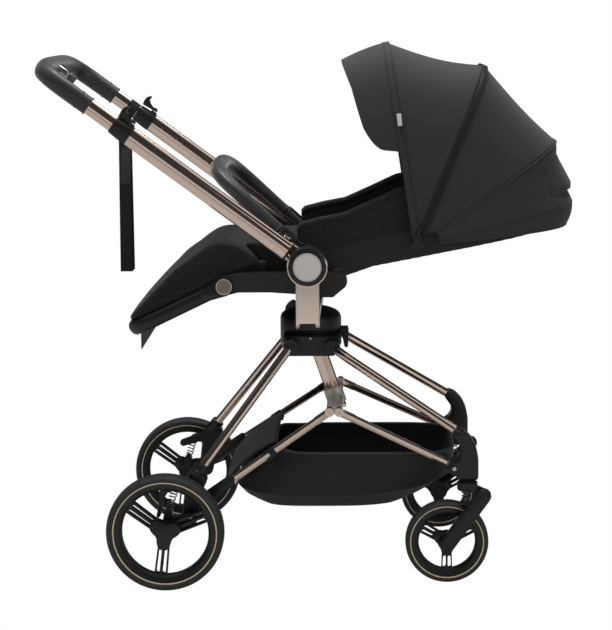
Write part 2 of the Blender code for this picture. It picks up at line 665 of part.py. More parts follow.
def coil(foot, top, radius, turns, name, carrier):
    """Compression spring as one round wire whose ends run level into flat seats."""
    foot = Vector(foot)
    axis = Vector(top) - foot
    height = axis.length
    tilt = axis.to_track_quat("Z", "Y")
    per_turn = 8
    rise = height - SPRING_WIRE - 2 * CLEAR
    dead = 0.75
    points = []
    for i in range(int(turns * per_turn) + 1):
        turn = i / per_turn
        share = min(max((turn - dead) / (turns - 2 * dead), 0.0), 1.0)
        climb = rise * (0.10 * min(turn / dead, 1.0) + 0.80 * share
                        + 0.10 * min(max((turn - turns + dead) / dead, 0.0), 1.0))
        angle = math.tau * turn
        level = SPRING_WIRE / 2 + CLEAR + climb
        points.append(foot + tilt @ Vector((radius * math.cos(angle), radius * math.sin(angle), level)))
    gaps = [(a - b).length - SPRING_WIRE for i, a in enumerate(points) for b in points[i + per_turn - 2:]]
    print(name, "least gap between turns", round(min(gaps) * 1000, 2), "mm")
    curve = bpy.data.curves.new(name, "CURVE")
    curve.dimensions = "3D"
    curve.bevel_depth = SPRING_WIRE / 2
    curve.bevel_resolution = 1
    curve.use_fill_caps = True
    empty, origin = bodies[carrier]
    spline = curve.splines.new("POLY")
    spline.points.add(len(points) - 1)
    for target, point in zip(spline.points, points):
        target.co = (*(point - origin), 1)
    curve.materials.append(finish_material(name + "_finish", *FINISHES["steel"]))
    piece = bpy.data.objects.new(name, curve)
    piece.parent = empty
    bpy.context.scene.collection.objects.link(piece)


# Wheels
def tyre(axle, track, radius, rim_radius, width, steps):
    half = width / 2
    wall = radius - rim_radius
    profile = [(rim_radius, -half * 0.72), (rim_radius + wall * 0.35, -half), (radius - wall * 0.22, -half * 0.88),
               (radius, -half * 0.40), (radius, half * 0.40), (radius - wall * 0.22, half * 0.88),
               (rim_radius + wall * 0.35, half), (rim_radius, half * 0.72)]
    return lathe(profile, flat(axle, track), steps, ring=True)


def rim(axle, track, rim_radius, width, spoke_width, spoke_angles, hub_low, hub_high, steps):
    half = width / 2
    outer = rim_radius - CLEAR
    inner = outer - 0.0125
    hoop = lathe([(outer, -half * 0.72), (outer, half * 0.72), (inner, half * 0.60), (inner, -half * 0.60)],
                 (0, track, 0), steps, ring=True)
    boss = lathe([(0, hub_low), (0.021, hub_low), (0.021, track + half * 0.42), (0.014, hub_high), (0, hub_high)],
                 (0, 0, 0), 14)
    arms = []
    slots = []
    web = half * 0.45
    for angle in spoke_angles:
        turn = Matrix.Rotation(math.radians(-angle), 4, "Y")
        spoke = plate([(0.008, -spoke_width * 0.42), (inner + 0.004, -spoke_width / 2),
                       (inner + 0.004, spoke_width / 2), (0.008, spoke_width * 0.42)], track - web, track + web)
        arms.append(spoke)
        bmesh.ops.transform(spoke, matrix=turn, verts=spoke.verts)
        for offset in (-spoke_width * 0.235, spoke_width * 0.235):
            slot = plate(link((0.034, offset * 0.9), 0.0032, (inner - 0.010, offset), 0.0038, 2), track - 0.03,
                         track + 0.03)
            bmesh.ops.transform(slot, matrix=turn, verts=slot.verts)
            slots.append(slot)
    bore = disc(AXLE_RADIUS + CLEAR, hub_low - 0.01, hub_high + 0.01, (0, 0), 12)
    wheel = cut(join(hoop, boss, *arms), bore, *slots)
    bmesh.ops.translate(wheel, vec=flat(axle), verts=wheel.verts)
    return wheel


# Basket
def basket_ring(rear, front, half_width, height, front_rise, rear_rise, inset=0.0, corners=24):
    """One level of the basket: a rounded rectangle whose height follows the belly."""
    centre = (front + rear) / 2
    reach = (front - rear) / 2 - inset
    ring = []
    for i in range(corners):
        angle = math.tau * i / corners
        x = centre + reach * math.copysign(abs(math.cos(angle)) ** BASKET_SQUARENESS, math.cos(angle))
        y = (half_width - inset) * math.copysign(abs(math.sin(angle)) ** BASKET_SQUARENESS, math.sin(angle))
        forward = max(0.0, (x - 0.06) / 0.26)
        backward = max(0.0, (-0.02 - x) / 0.15)
        z = height + front_rise * forward ** 2 + rear_rise * min(backward, 1.0) ** 2
        ring.append((x, y, z))
    return ring


BASKET_LEVELS = ((-0.078, 0.318, 0.0, BASKET_RIM, 0.0, 0.062), (-0.128, 0.318, 0.0, 0.236, 0.004, 0.010),
                 (-0.165, 0.312, 0.002, 0.171, 0.048, 0.016), (-0.150, 0.270, 0.050, 0.146, 0.052, 0.020),
                 (-0.100, 0.190, 0.105, 0.122, 0.030, 0.010))


def basket_shell(inset, lift):
    """Closed bag through the levels, drawn in by the inset."""
    shape = bmesh.new()
    loops = []
    for index, (rear, front, narrowing, height, front_rise, rear_rise) in enumerate(BASKET_LEVELS):
        raised = lift if index else lift * 10
        ring = basket_ring(rear, front, BASKET_HALF_WIDTH - narrowing, height + raised, front_rise, rear_rise, inset)
        loops.append([shape.verts.new(point) for point in ring])
    for upper, lower in zip(loops, loops[1:]):
        count = len(upper)
        for i in range(count):
            j = (i + 1) % count
            shape.faces.new((upper[i], upper[j], lower[j], lower[i]))
    for loop in (loops[0], loops[-1]):
        middle = shape.verts.new(sum((vert.co for vert in loop), Vector()) / len(loop))
        for first, second in zip(loop, loop[1:] + loop[:1]):
            shape.faces.new((first, second, middle))
    bmesh.ops.triangulate(shape, faces=shape.faces)
    return outward(shape)


def basket():
    """Bag with an open top and four tabs that lie against the struts."""
    bag = cut(basket_shell(0.0, 0.0), basket_shell(BASKET_WALL, BASKET_WALL))
    tabs = []
    for x, start, end, depth in ((FRONT_TAB_X, FRONT_PIN[0], FRONT_STRUT_EYE, 0.0050),
                                 (REAR_TAB_X, REAR_PIN[0], SLEEVE_START, 0.0100)):
        nearest = x - math.copysign(TAB_WIDTH / 2, x)
        share = (nearest - start) / (end[0] - start)
        face = STRUT_TRACK + (end[1] - STRUT_TRACK) * share - STRUT_THICKNESS / 2 - 2.5 * CLEAR
        height = NEXUS[1] + (end[2] - NEXUS[1]) * share
        root = BASKET_HALF_WIDTH - depth
        outline = [(root, 0.243), (face, height - 0.006), (face, height + 0.004), (face - 0.0025, height + 0.004),
                   (root, 0.256)]
        for sign in SIDES.values():
            tab = plate([(sign * y, z) for y, z in outline], x - TAB_WIDTH / 2, x + TAB_WIDTH / 2, axis="X")
            tabs.append(tab)
    return join(bag, *tabs)


# Turning part: hub upper case, yoke and swivel lever
SWIVEL_LEVER_PIVOT = (-0.0325, 0.5765)


def hub_upper_case():
    case = lathe([(0, HUB_SPLIT), (HUB_RADIUS, HUB_SPLIT), (HUB_RADIUS, 0.5480), (0.0660, 0.5560), (0.0580, 0.5630),
                  (0.0450, 0.5685), (0.0300, 0.5722), (0, HUB_TOP)], (0, 0, 0), 32, "Z")
    bore_top = HUB_SPLIT + SPIGOT_HEIGHT
    bore = lathe([(0, HUB_SPLIT - 0.01), (SPIGOT_RADIUS + CLEAR, HUB_SPLIT - 0.01), (SPIGOT_RADIUS + CLEAR, bore_top),
                  (0, bore_top)], (0, 0, 0), 24, "Z")
    half = YOKE_WIDTH / 2 + CLEAR
    low = YOKE_BEAM_BOTTOM - CLEAR
    channel = plate([(-half, low), (half, low), (half, HUB_TOP + 0.01), (-half, HUB_TOP + 0.01)], -0.1, 0.1)
    return cut(case, bore, channel)


def yoke():
    joint_height = JOINT[1]
    outer = [(YOKE_OUTER, joint_height)] + arc((YOKE_OUTER - 0.026, YOKE_BEAM_BOTTOM + 0.026), 0.026, 0, -90, 4)
    inner = arc((YOKE_INNER - 0.016, YOKE_BEAM_TOP + 0.016), 0.016, -90, 0, 3) + [(YOKE_INNER, joint_height)]
    outline = outer + [(-y, z) for y, z in reversed(outer)] + [(-y, z) for y, z in reversed(inner)] + inner
    frame = plate(outline, -YOKE_WIDTH / 2, YOKE_WIDTH / 2, axis="X", bevel=0.002)
    rings = []
    for sign in SIDES.values():
        profile = [(0, KNUCKLE_INNER), (JOINT_PIN_RADIUS, KNUCKLE_INNER), (JOINT_PIN_RADIUS, YOKE_INNER),
                   (JOINT_RING_RADIUS, YOKE_INNER), (JOINT_RING_RADIUS, JOINT_RING_FACE - 0.0015),
                   (JOINT_RING_RADIUS - 0.0023, JOINT_RING_FACE), (JOINT_DISC_RADIUS + 0.0015, JOINT_RING_FACE),
                   (JOINT_DISC_RADIUS, JOINT_RING_FACE - 0.0015), (JOINT_DISC_RADIUS - 0.001, JOINT_DISC_FACE),
                   (0, JOINT_DISC_FACE)]
        rings.append(mirrored(lathe(profile, flat(JOINT), 20), sign))
    return join(frame, *rings)


def swivel_lever():
    outline = arc(SWIVEL_LEVER_PIVOT, 0.0045, -100, 60, 4)
    outline += [(-0.0400, 0.5855), (-0.0500, 0.5795), (-0.0570, 0.5700), (-0.0560, 0.5650), (-0.0450, 0.5695)]
    return plate(outline, -0.018, 0.018, bevel=0.001)


# Handle: outer tubes with their joint knuckles, collars and clamp levers
HANDLE_ALONG = Vector((math.cos(math.radians(HANDLE_ANGLE)), 0, math.sin(math.radians(HANDLE_ANGLE))))
HANDLE_ABOVE = Vector((HANDLE_ALONG.z, 0, -HANDLE_ALONG.x))
GRIP_REACH_X = math.hypot(GRIP_SECTION[0] / 2 * HANDLE_ABOVE.x, GRIP_SECTION[1] / 2 * HANDLE_ALONG.x)
GRIP_DISTANCE = (HALF_LENGTH - GRIP_REACH_X) / -HANDLE_ALONG.x


def on_handle(distance, above=0.0, y=HANDLE_TRACK):
    """Point on the handle: distance from the joint, height above its middle plane, y."""
    return Vector(flat(JOINT, y)) + HANDLE_ALONG * distance + HANDLE_ABOVE * above


def handle_tube():
    ring = disc(JOINT_RING_RADIUS, KNUCKLE_INNER, KNUCKLE_OUTER, JOINT, 20)
    tube = sweep([on_handle(0.030), on_handle(0.056), on_handle(0.062), on_handle(COLLAR_START - CLEAR)],
                 oval(*OUTER_TUBE, 12), (0, 1, 0), [1.03, 1.03, 1.0, 1.0])
    pin = disc(JOINT_PIN_RADIUS + CLEAR, KNUCKLE_INNER - 0.01, KNUCKLE_OUTER + 0.01, JOINT, 16)
    bore = sweep([on_handle(BORE_FOOT), on_handle(COLLAR_START + 0.01)],
                 oval(INNER_TUBE[0] + 4 * CLEAR, INNER_TUBE[1] + 4 * CLEAR, 10), (0, 1, 0))
    return cut(join(ring, tube), pin, bore)


def collar():
    body_path = [on_handle(COLLAR_START), on_handle(COLLAR_START + 0.012), on_handle(COLLAR_END - 0.004),
                 on_handle(COLLAR_END)]
    sleeve = sweep(body_path, oval(0.044, 0.028, 12), (0, 1, 0), [0.97, 1.0, 0.92, 0.86])
    saddle = sweep([on_handle(COLLAR_START + 0.004, 0.017), on_handle(COLLAR_START + 0.018, 0.017)],
                   rectangle(0.014, 0.014), (0, 1, 0))
    bore = sweep([on_handle(COLLAR_START - 0.01), on_handle(COLLAR_END + 0.01)],
                 oval(INNER_TUBE[0] + 2 * CLEAR, INNER_TUBE[1] + 2 * CLEAR, 10), (0, 1, 0))
    return cut(join(sleeve, saddle), bore)


COLLAR_LEVER_HINGE = (COLLAR_START + 0.011, 0.0292)
COLLAR_LEVER_HALF_WIDTH = 0.007


def collar_lever():
    """Clamp lever above the collar, hinged at its lower end."""
    low = HANDLE_TRACK - COLLAR_LEVER_HALF_WIDTH
    high = HANDLE_TRACK + COLLAR_LEVER_HALF_WIDTH
    hinge = on_handle(*COLLAR_LEVER_HINGE, 0)
    barrel = disc(0.0045, low, high, (hinge.x, hinge.z), 12)
    outline = []
    for distance, above in ((0.0115, 0.0252), (0.022, 0.0262), (0.046, 0.0275), (0.050, 0.0305), (0.046, 0.0325),
                            (0.012, 0.0336)):
        spot = on_handle(COLLAR_START + distance, above, 0)
        outline.append((spot.x, spot.z))
    return join(barrel, plate(outline, low, high))


def grip_loop(start):
    """Path of the U from one side to the other, in the handle's own plane."""
    return rounded_path([on_handle(start), on_handle(GRIP_DISTANCE), on_handle(GRIP_DISTANCE, 0, -HANDLE_TRACK),
                         on_handle(start, 0, -HANDLE_TRACK)], GRIP_CORNER_RADIUS, 4)


def handle_inner_tube():
    return sweep(grip_loop(INNER_TUBE_FOOT), [(b, a) for a, b in oval(*INNER_TUBE, 10)], HANDLE_ABOVE)


BUTTON_RADIUS = 0.007
BUTTON_HOUSING = 0.010


def handle_grip():
    pad = sweep(grip_loop(GRIP_START), [(b, a) for a, b in oval(*GRIP_SECTION, 12)], HANDLE_ABOVE)
    core = sweep(grip_loop(GRIP_START - 0.02),
                 [(b, a) for a, b in oval(INNER_TUBE[0] + 2 * CLEAR, INNER_TUBE[1] + 2 * CLEAR, 10)], HANDLE_ABOVE)
    face = GRIP_DISTANCE - GRIP_SECTION[1] / 2 - BUTTON_HOUSING
    housing = sweep([on_handle(face, 0, 0), on_handle(face + BUTTON_HOUSING + 0.0035, 0, 0)], oval(0.026, 0.050, 12),
                    (0, 1, 0), [0.85, 1.0])
    pocket = sweep([on_handle(face - 0.01, 0, 0), on_handle(face + 0.008, 0, 0)],
                   oval(2 * (BUTTON_RADIUS + CLEAR), 2 * (BUTTON_RADIUS + CLEAR), 14), (0, 1, 0))
    return cut(join(cut(pad, core), housing), pocket)


def grip_button():
    face = GRIP_DISTANCE - GRIP_SECTION[1] / 2 - BUTTON_HOUSING
    return sweep([on_handle(face - 0.004, 0, 0), on_handle(face + 0.003, 0, 0)],
                 oval(2 * BUTTON_RADIUS, 2 * BUTTON_RADIUS, 14), (0, 1, 0))


def wrist_strap():
    """Webbing sewn in a band round the inner tube, its doubled end hanging straight down."""
    gap = 2 * CLEAR
    wide = INNER_TUBE[0] + gap + 2 * STRAP_THICKNESS
    deep = INNER_TUBE[1] + gap + 2 * STRAP_THICKNESS
    band = sweep([on_handle(STRAP_START), on_handle(STRAP_START + STRAP_WIDTH)], oval(wide, deep, 10), (0, 1, 0))
    bore = sweep([on_handle(STRAP_START - 0.01), on_handle(STRAP_START + STRAP_WIDTH + 0.01)],
                 oval(INNER_TUBE[0] + gap, INNER_TUBE[1] + gap, 10), (0, 1, 0))
    middle = on_handle(STRAP_START + STRAP_WIDTH * 0.7, -wide / 2)
    half = STRAP_WIDTH / 2
    tail = plate([(middle.x - half, middle.z - 0.006), (middle.x - half, STRAP_BOTTOM + 0.003),
                  (middle.x - half + 0.003, STRAP_BOTTOM), (middle.x + half - 0.003, STRAP_BOTTOM),
                  (middle.x + half, STRAP_BOTTOM + 0.003), (middle.x + half, middle.z + 0.012)],
                 HANDLE_TRACK - STRAP_THICKNESS, HANDLE_TRACK + STRAP_THICKNESS)
    return cut(join(band, tail), bore)


# Seat frame and pads
PAN_BOTTOM = PAN_TOP - PAN_THICKNESS


def seat_frame():
    solids = []
    rail = arc(FOOTREST_PIVOT, 0.022, 100, 260, 6)
    rail += [(-0.150, RAIL_BOTTOM), (-0.0817, RAIL_BOTTOM), (-0.026, 0.6300), (0.0253, 0.6228), (0.0532, 0.6228)]
    rail += [(0.0800, 0.6450)] + arc(RECLINE_PIVOT, 0.0220, -10, 60, 3) + [(0.060, RAIL_TOP), (-0.150, RAIL_TOP)]
    for sign in SIDES.values():
        solids.append(mirrored(plate(rail, RAIL_INNER, RAIL_OUTER), sign))
        solids.append(mirrored(disc(ADAPTOR_RADIUS, RAIL_OUTER - 0.001, ADAPTOR_OUTER, JOINT, 20), sign))
        post = link(BUMPER_PIVOT, 0.0140, (BUMPER_PIVOT[0], 0.668), 0.0140, 5)
        solids.append(mirrored(plate(post, BUMPER_TONGUE_HIGH + CLEAR, RAIL_OUTER - 0.0005), sign))
    pan = plate([(-0.090, PAN_BOTTOM), (0.045, PAN_BOTTOM), (0.045, PAN_TOP), (-0.090, PAN_TOP)],
                -PAD_HALF_WIDTH, PAD_HALF_WIDTH)
    reach = RAIL_INNER + 0.004
    bars = [disc(0.0065, -reach, reach, (x, PAN_BOTTOM - 0.001), 10) for x in (-0.078, 0.034)]
    return join(pan, *bars, *solids)


def crowned(outline, half_width, crown, drop):
    """Pad through side outlines that draw in towards both sides."""
    shape = bmesh.new()
    middle = (sum(a for a, b in outline) / len(outline), sum(b for a, b in outline) / len(outline))
    loops = []
    for y, size in ((-half_width, drop), (-half_width * 0.82, crown), (0, 1.0), (half_width * 0.82, crown),
                    (half_width, drop)):
        ring = [(middle[0] + (a - middle[0]) * size, y, middle[1] + (b - middle[1]) * size) for a, b in outline]
        loops.append([shape.verts.new(point) for point in ring])
    for first, second in zip(loops, loops[1:]):
        for i in range(len(first)):
            j = (i + 1) % len(first)
            shape.faces.new((first[i], first[j], second[j], second[i]))
    shape.faces.new(loops[0])
    shape.faces.new(loops[-1])
    return outward(shape)


def seat_cushion():
    low = PAN_TOP + CLEAR
    front = arc(FOOTREST_PIVOT, FOOT_ROLL_RADIUS + 2 * CLEAR, 1, 66, 6)
    outline = front + [(-0.120, PAD_TOP + 0.003), (0.010, PAD_TOP + 0.002), (0.040, PAD_TOP - 0.012), (0.043, low)]
    return plate(outline, -PAD_HALF_WIDTH, PAD_HALF_WIDTH, bevel=0.006)


def footrest_cushion():
    """Pad that rolls over the hinge and runs down the U-shaped frame, with a flap under its end."""
    along = Vector((FOOTREST_END[0] - FOOTREST_PIVOT[0], FOOTREST_END[1] - FOOTREST_PIVOT[1])).normalized()
    above = Vector((-along.y, along.x)) * -1
    base = Vector(FOOTREST_PIVOT)

    def spot(distance, height):
        point = base + along * distance + above * height
        return (point.x, point.y)

    outline = arc(FOOTREST_PIVOT, FOOT_ROLL_RADIUS, 30, 112, 6)
    outline += [spot(0.085, 0.079), spot(0.120, 0.066), spot(0.160, 0.052), spot(0.200, 0.036)]
    outline += [spot(0.224, 0.025), spot(0.226, 0.018), spot(0.202, 0.0162), spot(0.030, 0.0130), spot(0.004, 0.010)]
    pad = crowned(outline, RAIL_INNER - 0.0006, 0.985, 0.93)
    flap = plate([(-0.3660, 0.5820), (-0.3660, 0.4800), (-0.3640, 0.4770), (-0.3620, 0.4800), (-0.3610, 0.5870)],
                 -0.160, 0.160)
    return join(pad, flap)


def footrest_frame():
    """U of oval tube whose ends turn on flat eyes outside the rails."""
    pivot = Vector(flat(FOOTREST_PIVOT))
    end = Vector(flat(FOOTREST_END))
    heading = (end - pivot).normalized()
    normal = heading.cross(Vector((0, 1, 0)))
    near = pivot + heading * FOOT_ARM_START
    side = Vector((0, FOOT_TUBE_TRACK, 0))
    path = rounded_path([near + side, end + side, end - side, near - side], FOOT_CORNER_RADIUS, 3)
    solids = [sweep(path, oval(FOOT_TUBE, FOOT_TUBE_HEIGHT, 12), normal)]
    root = near + heading * 0.014
    eye = link(FOOTREST_PIVOT, 0.0205, (root.x, root.z), 0.0130, 8)
    for sign in SIDES.values():
        solids.append(mirrored(plate(eye, RAIL_OUTER + CLEAR, ADAPTOR_OUTER, bevel=0.001), sign))
    return join(*solids)


# Bumper bar
BUMPER_TONGUE_LOW = 0.1803
BUMPER_TONGUE_HIGH = 0.1890


def bumper_bar():
    pivot = Vector(flat(BUMPER_PIVOT))
    top = Vector(flat(BUMPER_LOOP))
    heading = (top - pivot).normalized()
    side = Vector((0, BUMPER_HALF_WIDTH, 0))
    start = pivot + heading * 0.020
    path = rounded_path([start + side, top + side, top - side, start - side], BUMPER_CORNER_RADIUS, 4)
    normal = heading.cross(Vector((0, 1, 0))).normalized()
    sizes = [0.8] + [1.0] * (len(path) - 2) + [0.8]
    solids = [sweep(path, oval(BUMPER_TUBE, BUMPER_TUBE, 10), normal, sizes)]
    for sign in SIDES.values():
        reach = pivot + heading * 0.030
        outline = link(BUMPER_PIVOT, 0.0130, (reach.x, reach.z), 0.0080)
        solids.append(mirrored(plate(outline, BUMPER_TONGUE_LOW, BUMPER_TONGUE_HIGH), sign))
    return join(*solids)


# Backrest shell
BACKREST_RISE = math.radians(10.7)


def backrest_plan(inset):
    """Plan of the backrest: straight sides and a rounded head end, drawn in by the inset."""
    half = BACKREST_HALF_WIDTH - inset
    reach = BACKREST_END - CANOPY_PIVOT[0] - inset
    power = 2 / CANOPY_ROUNDNESS
    curve = []
    for i in range(17):
        turn = math.pi * i / 16
        curve.append((CANOPY_PIVOT[0] + reach * abs(math.sin(turn)) ** power,
                      half * math.copysign(abs(math.cos(turn)) ** power, math.cos(turn))))
    return [(-0.10, half)] + curve + [(-0.10, -half)]


def backrest_shell():
    """Tub with high side walls: side profile and plan cut from each other, then hollowed above the floor."""
    slope = math.tan(BACKREST_RISE)
    front = (RECLINE_PIVOT[0] - 0.012, RECLINE_PIVOT[1] - 0.0085)
    rear = (BACKREST_END + 0.060, front[1] + (BACKREST_END + 0.060 - front[0]) * slope)
    wing = [(0.046, 0.668), (-0.022, 0.715), (-0.025, 0.774), (0.0263, 0.785), (0.080, 0.795), (0.133, 0.8185),
            (0.197, 0.848), (0.300, 0.866), (0.460, 0.866), (rear[0], 0.840), rear, front]
    rise = BACKREST_FLOOR
    hollow = [(-0.10, front[1] + rise - 0.15 * slope), (rear[0], rear[1] + rise), (rear[0], 0.95), (-0.10, 0.95)]
    full = BACKREST_HALF_WIDTH + 0.01
    tub = cross(plate(wing, -full, full), plate(backrest_plan(0.0), 0.60, 0.90, axis="Z"))
    inside = cross(plate(hollow, -full, full), plate(backrest_plan(BACKREST_WALL), 0.55, 0.97, axis="Z"))
    inner = BACKREST_HALF_WIDTH - BACKREST_WALL
    bosses = []
    for sign in SIDES.values():
        bosses.append(mirrored(disc(0.0150, inner + 0.002, RAIL_INNER - CLEAR, RECLINE_PIVOT, 14), sign))
        boss_high = MIDDLE_BOW[2] - BOW_THICKNESS / 2 - CLEAR
        bosses.append(mirrored(disc(0.0140, inner + 0.004, boss_high, CANOPY_PIVOT, 14), sign))
    return join(cut(tub, inside), *bosses)


# Canopy: bows and fabric bands that fan out from one axis
def fan_point(angle, reach, half_width, turn):
    """Point of a bow: angle from the vertical, its reach, its half width and the turn along it."""
    power = 2 / CANOPY_ROUNDNESS
    out = reach * abs(math.sin(turn)) ** power
    y = half_width * math.copysign(abs(math.cos(turn)) ** power, math.cos(turn))
    lean = math.radians(angle)
    return Vector((CANOPY_PIVOT[0] + out * math.sin(lean), y, CANOPY_PIVOT[1] + out * math.cos(lean)))


def turns(reach, inner_radius, steps):
    """Turns along a bow between the two spots at the inner radius."""
    first = math.asin((inner_radius / reach) ** (CANOPY_ROUNDNESS / 2))
    return [first + (math.pi - 2 * first) * i / steps for i in range(steps + 1)]


def bow(bow_size, steps=14):
    angle, reach, half_width = bow_size
    path = [fan_point(angle, reach, half_width, turn) for turn in turns(reach, 0.012, steps)]
    lean = math.radians(angle)
    normal = Vector((math.cos(lean), 0, -math.sin(lean)))
    hoop = sweep(path, rectangle(BOW_THICKNESS, BOW_WIDTH), normal)
    eyes = []
    for sign in SIDES.values():
        low = half_width - BOW_THICKNESS / 2
        eyes.append(mirrored(disc(0.0130, low, low + BOW_THICKNESS, CANOPY_PIVOT, 14), sign))
    return join(hoop, *eyes)


def fabric(stations, inner_radius, steps=14):
    """Cloth band through its stations: an angle, a reach, a half width and a gap in front of that angle."""
    shape = bmesh.new()
    outer = []
    inner = []
    for angle, reach, half_width, gap in stations:
        rows = ([], [])
        for turn in turns(reach, inner_radius, steps):
            distance = reach * abs(math.sin(turn)) ** (2 / CANOPY_ROUNDNESS)
            shifted = angle + math.degrees(gap / distance)
            rows[0].append(shape.verts.new(fan_point(shifted, reach, half_width, turn)))
            rows[1].append(shape.verts.new(fan_point(shifted, reach - FABRIC, half_width - FABRIC, turn)))
        outer.append(rows[0])
        inner.append(rows[1])
    for layer in (outer, inner):
        for first, second in zip(layer, layer[1:]):
            for i in range(steps):
                shape.faces.new((first[i], first[i + 1], second[i + 1], second[i]))
    for row in (0, -1):
        for i in range(steps):
            shape.faces.new((outer[row][i], outer[row][i + 1], inner[row][i + 1], inner[row][i]))
    for i in (0, -1):
        for first in range(len(stations) - 1):
            shape.faces.new((outer[first][i], outer[first + 1][i], inner[first + 1][i], inner[first][i]))
    return outward(shape)


def band_stations(first, last, first_gap, last_gap, sag):
    """Stations of a band between two bows, with the dip of the cloth between them."""
    stations = []
    for i in range(5):
        share = i / 4
        dip = sag * 4 * share * (1 - share)
        angle, reach, half_width = [a + (b - a) * share for a, b in zip(first, last)]
        stations.append((angle, reach - dip, half_width, first_gap * (1 - share) - last_gap * share))
    return stations


BOW_SIDE = BOW_WIDTH / 2 + 2 * CLEAR


def canopy_front_bow():
    hoop = bow(FRONT_BOW)
    start = FRONT_BOW[0] + 0.3
    visor = fabric([(start, FRONT_BOW[1] + 0.001, FRONT_BOW[2] + 0.001, 0),
                    ((start + VISOR_EDGE[0]) / 2, FRONT_BOW[1] + 0.001, FRONT_BOW[2], 0), (*VISOR_EDGE, 0)],
                   VISOR_INNER_RADIUS)
    return join(hoop, visor)


def canopy_back_panel():
    return fabric([(*REAR_SEAM, 2 * CLEAR), (67, 0.362, 0.181, CLEAR), (*BACK_CORNER, 0), (*BACK_LOW, 0)],
                  PANEL_INNER_RADIUS)


